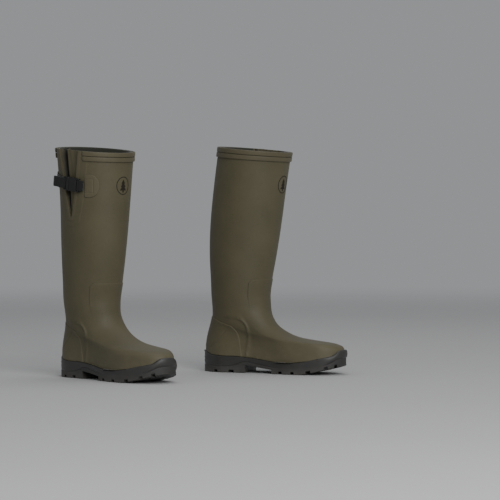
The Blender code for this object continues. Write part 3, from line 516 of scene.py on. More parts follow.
# %% Cloths, webbing and plastic
def woven(name, dark, light, across, slant, roughness, depth):
    """Two sets of bands crossing on the UV map; the higher of the two is the yarn on top."""
    m = new_material(name)
    uv = add_node(m, "TexCoord").outputs["UV"]
    bands = []
    for turn in (slant, -slant):
        turned = add_node(m, "Mapping", {"Vector": uv, "Rotation": (0, 0, math.radians(turn))})
        bands.append(add_node(m, "TexWave", {"Vector": turned.outputs[0], "Scale": 1 / across / 6.28 * 1.0,
                                             "Distortion": 0.4, "Detail": 1.0}, wave_profile="SIN").outputs["Fac"])
    top = add_node(m, "Math", {0: bands[0], 1: bands[1]}, operation="MAXIMUM")
    fuzz = add_node(m, "TexNoise", {"Vector": uv, "Scale": 700.0, "Detail": 3.0})
    shade = add_node(m, "Math", {0: top.outputs[0], 1: fuzz.outputs["Fac"]}, operation="MULTIPLY")
    colour = add_node(m, "Mix", {"Factor": shade.outputs[0], "A": linear(dark), "B": linear(light)},
                      data_type="RGBA")
    yarn = add_node(m, "Bump", {"Height": top.outputs[0], "Strength": 0.6, "Distance": depth})
    hair = add_node(m, "Bump", {"Height": fuzz.outputs["Fac"], "Strength": 0.2, "Distance": depth / 2,
                                "Normal": yarn.outputs[0]})
    shader = add_node(m, "BsdfPrincipled", {
        "Base Color": colour.outputs[2], "Roughness": roughness, "Normal": hair.outputs[0],
        "Specular IOR Level": 0.3, "Sheen Weight": 0.25, "Sheen Roughness": 0.4,
    })
    return finish_material(m, shader)


def moulded_acetal():
    """Near-black, satin, with the fine spark grain of its mould."""
    m = new_material("black acetal, moulded")
    place = add_node(m, "TexCoord").outputs["Object"]
    grain = add_node(m, "TexNoise", {"Vector": place, "Scale": 1500.0, "Detail": 2.0})
    cloud = add_node(m, "TexNoise", {"Vector": place, "Scale": 120.0, "Detail": 3.0})
    colour = add_node(m, "Mix", {"Factor": cloud.outputs["Fac"], "A": linear("#151515"), "B": linear("#202021")},
                      data_type="RGBA")
    rough = add_node(m, "MapRange", {"Value": cloud.outputs["Fac"], "To Min": 0.26, "To Max": 0.38})
    bump = add_node(m, "Bump", {"Height": grain.outputs["Fac"], "Strength": 0.12, "Distance": 0.0002})
    shader = add_node(m, "BsdfPrincipled", {"Base Color": colour.outputs[2], "Roughness": rough.outputs[0],
                                            "IOR": 1.48, "Normal": bump.outputs[0]})
    return finish_material(m, shader)


def fibrous(name, dark, light, scale, roughness):
    """Matted fibres or foam: a stretched noise in colour and bump."""
    m = new_material(name)
    place = add_node(m, "TexCoord").outputs["Object"]
    fibre = add_node(m, "TexNoise", {"Vector": place, "Scale": scale, "Detail": 8.0, "Distortion": 1.5})
    colour = add_node(m, "Mix", {"Factor": fibre.outputs["Fac"], "A": linear(dark), "B": linear(light)},
                      data_type="RGBA")
    bump = add_node(m, "Bump", {"Height": fibre.outputs["Fac"], "Strength": 0.5, "Distance": 0.0006})
    shader = add_node(m, "BsdfPrincipled", {"Base Color": colour.outputs[2], "Roughness": roughness,
                                            "Normal": bump.outputs[0], "Specular IOR Level": 0.2})
    return finish_material(m, shader)


def rolled_steel():
    """Cold-rolled spring steel, with lines along the rolling direction."""
    m = new_material("cold-rolled spring steel")
    place = add_node(m, "TexCoord").outputs["Object"]
    stretched = add_node(m, "Mapping", {"Vector": place, "Scale": (40.0, 900.0, 900.0)})
    lines = add_node(m, "TexNoise", {"Vector": stretched.outputs[0], "Scale": 1.0, "Detail": 3.0})
    rough = add_node(m, "MapRange", {"Value": lines.outputs["Fac"], "To Min": 0.25, "To Max": 0.45})
    shader = add_node(m, "BsdfPrincipled", {"Base Color": linear("#B4B4B6"), "Metallic": 1.0,
                                            "Roughness": rough.outputs[0]})
    return finish_material(m, shader)


JERSEY = woven("neoprene faced with jersey knit", "#24241F", "#4A4A41", 1.2 * MM, 38, 0.9, 0.0006)
WEBBING = woven("nylon webbing, herringbone", "#0C0C0C", "#2B2B2B", 1.0 * MM, 45, 0.75, 0.0005)
ACETAL = moulded_acetal()
FELT = fibrous("pressed wool felt", "#35352F", "#4E4D44", 260.0, 0.95)
FOAM = fibrous("expanded rubber foam", "#4A4A4A", "#5A5A58", 500.0, 0.9)
STEEL = rolled_steel()
MARK = fibrous("dark flexible rubber print", "#241F19", "#2D2821", 400.0, 0.6)
print("materials:", len(bpy.data.materials))

# %% [markdown]
# ## The rubber shell
#
# The shell is one dipped skin. It is open down the outer side in a narrow V, where the gusset lets a wide calf in.
# Its grid's columns are pushed apart towards the rim so that the two edges of the V are grid lines, and the cells
# between them are left out. A rounded ridge, where two sheets lap, is raised by how near each point is to a curve.

# %% Gusset and shell sizes
GUSSET_HALF = 20.5 * MM
APEX_HALF = 1.2 * MM
GUSSET_CURVE = 0.75
SHELL = 2.2 * MM
FIT = 0.3 * MM
SOCK = 4.5 * MM


def slot_half(level):
    """Half angle of the V at a level: narrow at its foot, growing in proportion to the rim."""
    opening = np.clip((level - APEX) / GUSSET_LENGTH, 0, 1)
    return (APEX_HALF + (GUSSET_HALF - APEX_HALF) * opening**GUSSET_CURVE) / CALF_RADIUS


def shell_angles(level, count):
    """Columns from the V's front edge right round to its rear edge, pushed away from it by an eased amount."""
    foot = APEX_HALF / CALF_RADIUS
    t = np.linspace(0, 1, count)[None]
    a = (2 * math.pi - 2 * foot) * (t - 0.25 * np.sin(2 * math.pi * t) / (2 * math.pi))
    push = slot_half(level)[:, None] - foot
    near = 1 - ease(a / 0.9)
    far = 1 - ease((a[:, -1:] - a) / 0.9)
    return GUSSET_AZIMUTH + foot + a + push * (near - far)


LAP_RIDGE = np.array([(58, 114), (70, 114), (88, 111), (101, 104), (108, 93), (110, 78), (107.5, 58), (104, 34)]) * MM
RIDGE_HEIGHT = 2.2 * MM


def distance_to_path(x, z, path):
    """Smallest distance in the side view from each point to a path's straight pieces."""
    best = np.full(x.shape, 1.0)
    for (ax, az), (bx, bz) in zip(path[:-1], path[1:]):
        dx, dz = bx - ax, bz - az
        share = np.clip(((x - ax) * dx + (z - az) * dz) / (dx * dx + dz * dz), 0, 1)
        best = np.minimum(best, np.hypot(x - ax - share * dx, z - az - share * dz))
    return best


def rounded_path(path, count=40):
    """A smooth path through the corners, by reading x and z as curves of the distance along it."""
    far = np.concatenate([[0], np.cumsum(np.hypot(*np.diff(path, axis=0).T))])
    table = np.column_stack([far, path])
    at = np.linspace(0, far[-1], count)
    return np.column_stack([smooth(table, 1, at), smooth(table, 2, at)])


def shell_relief(points, u, level):
    """Shapes on the shell: the lap's ridge at the sides, fading towards the back, and the thin panel that is laid
    round the V, 20 mm wide, with an edge 0.5 mm high."""
    x, y, z = np.moveaxis(points, -1, 0)
    near = distance_to_path(x, z, rounded_path(LAP_RIDGE))
    fade = ease((x - 56 * MM) / (16 * MM)) * ease((np.abs(y) - 14 * MM) / (10 * MM)) * (z > 30 * MM)
    beside = (np.abs(u - GUSSET_AZIMUTH + math.pi) % (2 * math.pi) - math.pi) * CALF_RADIUS
    beside = np.abs(beside) - slot_half(level) * CALF_RADIUS
    from_v = np.hypot(np.maximum(beside, 0), np.maximum(APEX - level, 0))
    panel = 0.7 * MM * (1 - ease((from_v - 20 * MM) / (1.6 * MM)))
    return RIDGE_HEIGHT * np.exp(-((near / (2.6 * MM)) ** 2)) * fade + panel


def make_shell(side):
    """Floor rows drawn in to the foot's middle line, then rows up to the rim; outer and inner skins."""
    columns = 320
    levels = np.concatenate([np.linspace(FEATHER_LEVEL, 0.112, 52), np.linspace(0.114, APEX - 28 * MM, 28)[:-1],
                             np.linspace(APEX - 28 * MM, APEX, 18)[:-1], np.linspace(APEX, RIM, 42)])
    u = shell_angles(levels, columns)
    outer = skin(side, u, levels[:, None])
    feather = outer[0]
    xi = along(u[0])
    line = np.stack([(0.14 + 0.68 * xi) * SOLE_LENGTH, 0 * xi, 0 * xi], axis=-1)
    floor = []
    for share in (0.0, 0.4, 0.75):
        row = line + (feather - line) * share
        row[:, 2] = bed_height(row[:, 0])
        floor.append(row)
    outer = np.concatenate([np.array(floor), outer])
    normal = normals_of(outer, wrap=True)
    normal[0] = (0, 0, -1)
    inner = outer - SHELL * normal
    floor_rows = len(floor)
    relief = shell_relief(outer[floor_rows:], u, levels[:, None])
    outer[floor_rows:] += relief[..., None] * normal[floor_rows:]
    keep = np.ones((len(outer) - 1, columns), bool)
    keep[floor_rows + int(np.argmax(levels >= APEX - 1e-9)) :, -1] = False
    points, quads = both_skins(outer, inner, wrap=True, keep=keep, seam=True)
    return make_piece("rubber_shell", side, points, quads, side + "_boot", OLIVE,
                      [side + "_upper_shell"])


for side in MIRROR:
    shell = make_shell(side)
    print(shell.name, len(shell.data.polygons), "faces")

# %% [markdown]
# ## Collar bands, and the strips beside the V
#
# Two rounded bands stiffen the rim, one under the other, with a groove between. Each is a small rounded section
# carried round the skin: the path gives the angle, and the section gives a level and a distance off the skin. The
# strip beside the V is the same idea, on a path that runs down one edge, round the foot and up the other.


# %% Bands and strips
def roll_off(distance, radius):
    """A quarter circle: 0 at the border, 1 once a radius inside it."""
    return np.sqrt(np.clip(1 - (1 - np.clip(distance / radius, 0, 1)) ** 2, 0, 1))


def rounded_section(low, high, thick, count=24, square=0.45):
    """A rounded rectangle: cosine and sine with their sizes raised to a small power, scaled to the two ranges."""
    turn = np.arange(count) * 2 * math.pi / count
    c, s = np.cos(turn), np.sin(turn)
    a = (np.sign(c) * np.abs(c) ** square + 1) / 2
    b = (np.sign(s) * np.abs(s) ** square + 1) / 2
    return low + (high - low) * a, FIT + (thick - FIT) * b


def make_band(side, name, top, tall, node):
    """The section's level and distance, carried round from the V's front strip to its rear one."""
    level, proud = rounded_section(top - tall, top, 3.0 * MM)
    start = slot_half(RIM) + 9 * MM / CALF_RADIUS
    stop = 2 * math.pi - slot_half(RIM) - 24 * MM / CALF_RADIUS
    turn = np.linspace(start, stop, 160)
    taper = roll_off(np.minimum(turn - start, stop - turn), 0.03)
    share = 0.35 + 0.65 * taper[:, None]
    mid_level, mid_proud = level.mean(), proud.mean()
    section = skin(side, GUSSET_AZIMUTH + turn[:, None], mid_level + (level - mid_level)[None] * share,
                   mid_proud + (proud - mid_proud)[None] * share)
    points, quads = swept(section)
    make_piece(name, side, points, quads, side + "_boot", OLIVE_TRIM, [side + node], sharp=70)


def make_welt(side):
    """Down the V's rear edge, half round its foot and up the front edge, at 0 to 8 mm from the edge."""
    wide, thick = 7.5 * MM, 1.3 * MM
    out, proud = rounded_section(0.3 * MM, wide, thick, 20, 0.5)
    q = np.concatenate([np.linspace(-1, -0.12, 60), np.linspace(-0.1, 0.1, 15), np.linspace(0.12, 1, 60)])
    climb = np.clip((np.abs(q) - 0.11) / 0.89, 0, 1)
    turn = np.clip(q / 0.11, -1, 1) * math.pi / 2
    edge = APEX_HALF + (GUSSET_HALF - APEX_HALF) * climb**GUSSET_CURVE
    reach = edge[:, None] + out[None]
    across = np.where(climb[:, None] > 0, np.sign(q)[:, None] * reach, reach * np.sin(turn)[:, None])
    level = APEX + climb[:, None] * (GUSSET_LENGTH - 0.5 * MM) - (climb[:, None] == 0) * reach * np.cos(turn)[:, None]
    section = skin(side, GUSSET_AZIMUTH + across / CALF_RADIUS, level, np.broadcast_to(proud, level.shape))
    points, quads = swept(section)
    make_piece("gusset_strip", side, points, quads, side + "_boot", OLIVE_TRIM,
               [side + "_gusset_welt"], sharp=70)


for side in MIRROR:
    make_band(side, "rim_band", RIM, 9.0 * MM, "_collar_band_upper")
    make_band(side, "second_band", RIM - 9.8 * MM, 9.2 * MM, "_collar_band_lower")
    make_welt(side)
print("bands and strips made")

# %% [markdown]
# ## The gusset
#
# Behind the V is a loose sheet of rubberised cloth. Buckled up, it folds inwards: a deep crease next to the rear edge,
# and a slack panel from there to the front one. The depth across the V is an eased rise and a bell's fall.


# %% The gusset
def make_gusset(side):
    """Depth behind the skin: the shell's wall, and up to 15 mm times the opening times the crease's shape."""
    level = np.linspace(APEX - 7 * MM, RIM - 0.3 * MM, 90)[:, None]
    q = np.linspace(0, 1, 70)[None]
    half = slot_half(level) + 6.5 * MM / CALF_RADIUS
    u = GUSSET_AZIMUTH - half + 2 * half * q
    across = ((u - GUSSET_AZIMUTH) / slot_half(level) + 1) / 2
    share = np.clip(across, 0, 1)
    crease = ease((across + 0.14) / 0.15) * np.exp(-np.clip((share - 0.22) / 0.13, 0, 9) ** 2)
    panel = 0.16 * np.sin(math.pi * share)
    opening = np.clip((level - APEX) / GUSSET_LENGTH, 0, 1)
    ripple = 0.4 * MM * np.sin(u * 40 + level * 60) * opening * np.sin(math.pi * share)
    depth = SHELL + FIT + 15 * MM * opening * np.maximum(crease, panel) + ripple
    outer = skin(side, u, level + 0 * u, -depth)
    inner = outer - 1.3 * MM * normals_of(outer)
    points, quads = both_skins(outer, inner)
    # Painted shade: the crease's shape, faded in as the V opens, darkens the cloth where the fold lies in shadow; the
    # inner side gets none.
    grime = (np.clip(1.3 * crease, 0, 1) * ease(opening / 0.2)).ravel()
    make_piece("gusset_fold", side, points, quads, side + "_boot", GUSSET_CLOTH, [side + "_gusset"],
               fields={"grime": np.concatenate([grime, 0 * grime])})


for side in MIRROR:
    make_gusset(side)
print("gussets made")

# %% [markdown]
# ## The sock
#
# The insulation is a foam sock, cut away behind the gusset and bound with a rounded edge at the rim. It is the same
# skin again, further in, and it carries a UV map in metres for its knit.


# %% The sock
def make_sock(side):
    """Two skins at 2.5 and 7 mm in. The last rows curl over, so that the edge at the rim is round."""
    columns = 150
    reach = (GUSSET_HALF + 8.6 * MM) / CALF_RADIUS
    low = SHELL + FIT
    levels = np.concatenate([np.linspace(FEATHER_LEVEL, 0.10, 26), np.linspace(0.102, RIM - 2.3 * MM, 120)])
    gap = (slot_half(levels) * CALF_RADIUS + 8.6 * MM) / CALF_RADIUS * (levels > APEX - 9 * MM) + 0.012
    a = np.linspace(0, 1, columns)[None]
    edge = gap[:, None]
    u = GUSSET_AZIMUTH + edge + (2 * math.pi - 2 * edge) * a
    sheet = skin(side, u, levels[:, None])
    xi = along(u[0])
    line = np.stack([(0.14 + 0.68 * xi) * SOLE_LENGTH, 0 * xi, 0 * xi], axis=-1)
    floor = []
    for share in (0.0, 0.4, 0.75):
        row = line + (sheet[0] - line) * share
        row[:, 2] = bed_height(row[:, 0])
        floor.append(row)
    sheet = np.concatenate([np.array(floor), sheet])
    normal = normals_of(sheet, wrap=True)
    normal[0] = (0, 0, -1)
    outer, inner = sheet - low * normal, sheet - (low + SOCK) * normal
    curl = np.linspace(0, math.pi, 9)[1:-1]
    middle, half = (outer[-1] + inner[-1]) / 2, (outer[-1] - inner[-1]) / 2
    rim = [middle + half * math.cos(t) + np.array([0, 0, 2.2 * MM]) * math.sin(t) for t in curl]
    keep = np.ones((len(sheet) - 1, columns), bool)
    keep[3 + int(np.argmax(levels > APEX - 9 * MM)) :, -1] = False
    points, quads = both_skins(outer, inner, wrap=True, keep=keep, seam=True)
    count = len(sheet) * columns
    top_out = np.arange(columns) + (len(sheet) - 1) * columns
    top_in = top_out + count
    flat = np.isin(quads, top_out).sum(axis=1) + np.isin(quads, top_in).sum(axis=1) == 4
    quads = quads[~flat]
    rows = np.concatenate([top_out[None], 2 * count + np.arange(len(curl) * columns).reshape(-1, columns), top_in[None]])
    edge_quads = np.stack([rows[:-1, :-1], rows[:-1, 1:], rows[1:, 1:], rows[1:, :-1]], axis=-1).reshape(-1, 4)
    caps = [np.concatenate([rows[:, k], np.repeat(rows[-1:, k], 0)]) for k in (0, -1)]
    fans = []
    for cap, turned in zip(caps, (False, True)):
        low_k, high_k = 0, len(cap) - 1
        while high_k - low_k > 1:
            quad = [cap[low_k], cap[low_k + 1], cap[high_k - 1], cap[high_k]]
            fans.append(quad[::-1] if not turned else quad)
            low_k, high_k = low_k + 1, high_k - 1
    points = np.concatenate([points, np.array(rim).reshape(-1, 3)])
    quads = np.concatenate([quads, edge_quads, np.array(fans)])
    level_map = np.concatenate([np.array([0, 0.02, 0.04]), levels])
    uv = np.stack([u[np.r_[0, 0, 0, : len(levels)]] * CALF_RADIUS, level_map[:, None] + 0 * a], axis=-1)
    rim_uv = np.repeat(uv[-1][None], len(curl), axis=0)
    uv = np.concatenate([uv.reshape(-1, 2), uv.reshape(-1, 2), rim_uv.reshape(-1, 2)])
    sock = make_piece("sock", side, points, quads, side + "_boot", JERSEY, [side + "_lining"], uv=uv)
    return sock


for side in MIRROR:
    sock = make_sock(side)
    print(sock.name, len(sock.data.polygons), "faces")

# %% [markdown]
# ## Guards at the heel and the shin
#
# Where brush wears the boot, a second sheet is laid over the first: round the heel, and over the front of the ankle.
# A guard is a patch of the skin whose thickness rolls down to nothing at its border, as the pressed edge does.


# %% Guards
def make_patch(side, name, u, z, thick, material, node, uv=None, relief=None):
    """A closed patch: skin at the given angles and heights, raised by thick, over its own base."""
    level = level_at(side, u, z)
    rise = thick + (0 if relief is None else relief)
    outer = skin(side, u, level, 0.10 * MM + rise)
    inner = skin(side, u, level, np.full(u.shape, 0.02 * MM))
    points, quads = both_skins(outer, inner)
    if uv is not None:
        uv = np.concatenate([uv.reshape(-1, 2)] * 2)
    return make_piece(name, side, points, quads, side + "_boot", material, [side + node], uv=uv, sharp=60)


HEEL_FRONT = np.array([(0.0, 95, 37), (0.2, 93, 47), (0.4, 91.5, 60), (0.7, 88, 76), (0.87, 83, 88), (1.0, 74, 95)])
HEEL_TOP = np.array([(0, 113), (25, 110), (50, 103), (72, 96), (100, 86)])
CREASE = np.array([(66, 92), (48, 72), (24, 50)]) * MM


def make_heel_guard(side):
    """Rows climb from the sole's edge to the seam; each row spans from one front edge round the heel to the other."""
    a = np.linspace(-1, 1, 200)[None]
    b = np.linspace(0, 1, 80)[:, None]
    front = smooth(HEEL_FRONT, 1, b) * MM
    back = 0.02 * SOLE_LENGTH
    ring = smooth(RINGS[side], 3, 0.06 + 0.04 * b)
    u = a * np.arccos(np.clip(1 - 2 * (front - back) / (ring - back), -1, 1))
    for _ in range(3):
        x = skin(side, u, level_at(side, u, 0.05 + 0.04 * b + 0 * a))[..., 0]
        top = smooth(HEEL_TOP, 1, x / MM) * MM
        bottom = edge_height(x) + 1.2 * MM
        z = bottom + (top - bottom) * b
        x = skin(side, u, level_at(side, u, z))[..., 0]
        edge_x = np.maximum(x[:, :1], x[:, -1:])
        u = u * (1 + 0.5 * (front - edge_x) / np.maximum(edge_x, 0.03))
    border = np.minimum(np.minimum((1 - np.abs(a)) * 0.09, (1 - b) * 0.055), b * 0.05 + 0.0006)
    near = distance_to_path(x, z, rounded_path(CREASE))
    crease = -0.95 * MM * np.exp(-((near / (1.5 * MM)) ** 2)) * ease((1 - np.abs(a)) / 0.06)
    rise = 1.2 * MM * roll_off(border, 1.2 * MM)
    make_patch(side, "heel_overlay", u, z, rise, OLIVE, "_heel_guard", relief=crease)


def make_shin_guard(side):
    """A rounded rectangle over the shin; its thickness fades to nothing over the instep."""
    a = np.linspace(-1, 1, 110)[None]
    b = np.linspace(0, 1, 80)[:, None]
    z = (112 + (188.5 - 112) * b) * MM
    half = np.where(a < 0, math.radians(50), math.radians(57)) - 0.11 * ease((b - 0.88) / 0.12) ** 2
    u = math.pi + a * half
    z = z + 0 * a
    border = np.minimum((1 - np.abs(a)) * 0.06, (1 - b) * 0.077)
    rise = 0.95 * MM * roll_off(border, 1.2 * MM) * ease((b - 0.12) / 0.6)
    make_patch(side, "shin_overlay", u, z, rise, OLIVE, "_shin_guard")


for side in MIRROR:
    make_heel_guard(side)
    make_shin_guard(side)
print("guards made")

# %% [markdown]
# ## The cup sole
#
# The sole is pressed in one piece. Its columns run round the outline, and its rows go from the middle of the tread
# out to the edge, up the wall, over the lip and down into the cup. The grooves slant across the tread, so the columns
# slant with them: each is shifted back on the outer side and forward on the inner side by the same table.

# %% The cup sole
TREAD_DEPTH = 5 * MM
GROOVES = [(40, 8), (70.5, 10), (175, 8.5), (204.5, 9), (239, 10), (273, 7.5), (292, 4.5)]  # middle and width, mm
WAIST = (97.5 * MM, 157 * MM)
SLANT = np.array([(0, 0), (40, -3), (70, 1.5), (98, 3.5), (156, 4), (175, 6), (205, 3.5), (239, 2.7), (273, 4.7),
                  (304, 0)])
SEAM_LINE = np.array([(0, 15.5), (78, 15.5), (98, 22), (128, 18.5), (165, 13), (240, 13), (270, 18), (288, 26),
                      (297, 32), (304, 34)])


def tread_height(x):
    """The underside, flat to 0.74 of the length and then springing up to 18 mm at the toe."""
    return 18 * MM * np.clip((x / SOLE_LENGTH - 0.74) / 0.26, 0, None) ** 1.2


def underside(middle, x, share):
    """Tread height, 5 mm up in each groove, 3 mm up in the two long grooves, and the arch's gap at the waist."""
    cross = np.zeros(np.shape(x))
    for at, width in GROOVES:
        cross = np.maximum(cross, np.clip((width / 2 - np.abs(middle / MM - at)) / 0.6 + 0.5, 0, 1))
    long = 0.6 * ((share > 0.34) & (share < 0.41))
    gap = np.clip((middle - WAIST[0]) / (1.0 * MM), 0, 1) * np.clip((WAIST[1] - middle) / (1.0 * MM), 0, 1)
    arch = 15 * MM - 7 * MM * (middle - WAIST[0]) / (WAIST[1] - WAIST[0])
    return tread_height(x) + np.maximum(TREAD_DEPTH * np.maximum(cross, long), gap * arch)


def wall_relief(x, z, seam):
    """The wall's shapes: a groove along the seam line, the toe bumper's ledge, and the ribs at the heel's back."""
    toe = ease((x / MM - 268) / 22)
    line = np.exp(-(((z - seam) / (0.9 * MM)) ** 2))
    top = edge_height(x)
    bumper = np.sin(np.clip((z - seam) / (top - seam), 0, 1) * math.pi) ** 0.7
    below = ease((seam - z) / (1.2 * MM))
    heel = ease((22 * MM - x) / (14 * MM))
    ribs = sum(h * np.exp(-(((z / MM - at) / w) ** 2)) for at, w, h in ((42, 1.7, 1.4), (29, 1.3, 0.9), (22, 1.3, 0.9)))
    fade = 1 - ease((x / MM - 150) / 45)
    return MM * (-0.9 * line * np.maximum(fade, 0.8 * toe) + toe * (1.6 * bumper - 0.9 * below) + heel * ribs)


def make_outsole(side):
    """Rows as described above. stipple is 1 on the wall under the seam line, where the mould is eroded."""
    count = 960
    around = np.arange(count) * 2 * math.pi / count
    middle = along(around) * SOLE_LENGTH
    sign = np.where(np.sin(around) >= 0, -1, 1)
    x = np.clip(middle + sign * smooth(SLANT, 1, middle / MM) * MM * np.abs(np.sin(around)) ** 0.3, 0, SOLE_LENGTH)
    u = np.arccos(1 - 2 * x / SOLE_LENGTH)
    u = np.where(sign < 0, u, 2 * math.pi - u)
    ring = np.stack([x, foot_half_width(u) - np.sin(u) * FOXING], axis=-1)
    tangent = np.roll(ring, -1, axis=0) - np.roll(ring, 1, axis=0)
    out = np.stack([-tangent[:, 1], tangent[:, 0]], axis=-1)
    out /= np.linalg.norm(out, axis=1, keepdims=True) * np.sign(np.sum(out * (ring - (0.15, 0)), axis=1).sum())
    inset = ring - 2.5 * MM * out
    spine = np.stack([np.clip(middle, 0.10 * SOLE_LENGTH, 0.90 * SOLE_LENGTH), 0 * x], axis=-1)
    rows, stipple = [], []

    def add_row(plan, z, rough=0.0):
        rows.append(np.column_stack([plan, np.broadcast_to(z, x.shape)]))
        stipple.append(np.broadcast_to(rough, x.shape))

    for share in (0, 0.15, 0.30, 0.335, 0.345, 0.375, 0.405, 0.415, 0.55, 0.7, 0.85, 1.0):
        plan = spine + (inset - spine) * share
        add_row(plan, underside(middle, plan[:, 0], share))
    low = underside(middle, x, 1.0)
    for turn in np.linspace(0.25, 1, 4) * math.pi / 2:
        add_row(inset + 2.5 * MM * out * math.sin(turn), low + 1.6 * MM * (1 - math.cos(turn)), 0.6)
    seam, top = smooth(SEAM_LINE, 1, x / MM) * MM, edge_height(x)
    start = low + 1.6 * MM
    seam = np.maximum(seam, start + 3 * MM)
    heights = [start + (seam - 1.6 * MM - start) * s for s in np.linspace(0.08, 1, 12)]
    heights += [seam + d * MM for d in (-1.2, -0.8, -0.4, 0, 0.4, 0.8, 1.2)]
    heights += [seam + 1.8 * MM + (top - 1.2 * MM - seam - 1.8 * MM) * s for s in np.linspace(0, 1, 16)]
    for z in heights:
        relief = wall_relief(x, z, seam)
        add_row(ring + relief[:, None] * out, z, np.where(z < seam - 0.5 * MM, 1.0, 0.25))
    for back, drop in ((0.15, 0.6), (0.5, 0.2), (1.1, 0.0)):
        add_row(ring - back * MM * out, top - drop * MM)
    for level in np.linspace(EDGE_LEVEL, FEATHER_LEVEL, 6):
        inner = skin(side, u, level)
        z = np.minimum(inner[:, 2], top) if level < EDGE_LEVEL else top
        add_row(inner[:, :2] + 0.15 * MM * out, z)
    feather = skin(side, u, FEATHER_LEVEL)
    cup = np.stack([(0.14 + 0.68 * along(u)) * SOLE_LENGTH, 0 * x], axis=-1)
    for share in (1.0, 0.6, 0.3, 0.0):
        plan = cup + (feather[:, :2] + 0.3 * MM * out - cup) * share
        thick = (8 - 3 * ease((plan[:, 0] / SOLE_LENGTH - 0.25) / 0.3)) * MM
        add_row(plan, bed_height(plan[:, 0]) - thick - 0.8 * MM)
    points = np.array(rows)
    return make_piece("cup_sole", side, points, grid_quads(len(rows), count, wrap=True), side + "_boot",
                      SOLE, [side + "_outsole"], fields={"stipple": np.array(stipple)})


for side in MIRROR:
    sole = make_outsole(side)
    print(sole.name, len(sole.data.polygons), "faces")

# %% [markdown]
# ## The footbed, the foam and the steel
#
# The footbed is a loose felt insole. The foam midsole and the steel shank are hidden in the cup, so the solid
# model's own pieces stand in for them, with real materials put on.


# %% The footbed, the foam and the steel
def make_footbed(side):
    """The feather edge drawn in by 9.5 mm, filled towards its middle line, with a rounded upper edge."""
    u = np.arange(160) * 2 * math.pi / 160
    feather = skin(side, u, FEATHER_LEVEL)
    line = np.stack([(0.14 + 0.68 * along(u)) * SOLE_LENGTH, 0 * u, 0 * u], axis=-1)
    away = feather - line
    away[:, 2] = 0
    edge = feather - away * (9.5 * MM / np.linalg.norm(away, axis=1, keepdims=True))
    share = np.array([0, 0.3, 0.5, 0.7, 0.85, 0.93, 0.97, 1.0])[:, None]
    plan = line + (edge - line) * share[..., None]
    low = bed_height(plan[..., 0]) + 8 * MM
    thick = 4.5 * MM * (0.35 + 0.65 * roll_off((1 - share) * 30 * MM, 2 * MM))
    outer = np.concatenate([plan[..., :2], (low + thick)[..., None]], axis=-1)
    inner = np.concatenate([plan[..., :2], low[..., None]], axis=-1)
    points, quads = both_skins(outer, inner, wrap=True, seam=True)
    bed = make_piece("insole", side, points, quads, side + "_footbed", FELT, [side + "_footbed"])


for side in MIRROR:
    make_footbed(side)
    for node, material in (("_midsole", FOAM), ("_shank", STEEL)):
        hidden = bpy.data.objects[side + node]
        hidden.data.materials.clear()
        hidden.data.materials.append(material)
print("footbeds made, midsole and shank finished")

# %% [markdown]
# ## Pads and the printed mark
#
# The strap is anchored on a D-shaped pad of rubber in front and a plain one behind. A pad is rings drawn in from its
# outline to its middle, rolled off at the edge. The mark on the shin is a generic one: a ring with a small fir tree.

# %% Pads and the printed mark
BUCKLE_AZIMUTH = math.radians(101)
STRAP_TILT = math.radians(9)
FRONT_ANCHOR = math.radians(118)
REAR_ANCHOR = math.radians(54)
MARK_PLACE = (math.radians(186), RIM - 70 * MM)


def strap_height(u):
    """The strap's middle: 67 mm under the rim at the buckle, rising to the back at 9 degrees."""
    return RIM - 67 * MM + math.sin(STRAP_TILT) * (BUCKLE_AZIMUTH - u) * CALF_RADIUS


def resampled(corners, count, soften):
    """Points evenly along a closed polygon, each then averaged with its neighbours, which rounds the corners."""
    loop = np.vstack([corners, corners[:1]])
    far = np.concatenate([[0], np.cumsum(np.hypot(*np.diff(loop, axis=0).T))])
    at = np.arange(count) * far[-1] / count
    points = np.column_stack([np.interp(at, far, loop[:, k]) for k in (0, 1)])
    return sum(np.roll(points, k, axis=0) for k in range(-soften, soften + 1)) / (2 * soften + 1)


def on_skin(side, place, flat, proud):
    """Points of a flat drawing, in metres across and up, wrapped round the skin at a place (angle, height)."""
    u = place[0] + flat[..., 0] / CALF_RADIUS
    return skin(side, u, level_at(side, u, place[1] + flat[..., 1]), proud)


def make_pad(side, name, node, place, outline, thick, engraved=None, material=OLIVE_TRIM):
    """Rings between the outline and its middle. An engraved path sinks by 0.4 mm."""
    middle = outline.mean(axis=0)
    share = np.concatenate([np.linspace(0, 0.9, 26), np.linspace(0.91, 1, 12)])[:, None, None]
    flat = middle + (outline - middle) * share
    far = (1 - share[..., 0]) * np.linalg.norm(outline - middle, axis=1)[None]
    rise = 0.15 * MM + thick * roll_off(far, thick)
    if engraved is not None:
        near = distance_to_path(flat[..., 0], flat[..., 1], engraved)
        rise = rise - 0.6 * MM * np.exp(-((near / (0.9 * MM)) ** 2))
    outer = on_skin(side, place, flat, rise)
    inner = on_skin(side, place, flat, np.full(rise.shape, 0.05 * MM))
    points, quads = both_skins(outer, inner, wrap=True, seam=True)
    make_piece(name, side, points, quads, side + "_boot", material, [side + node], sharp=60)


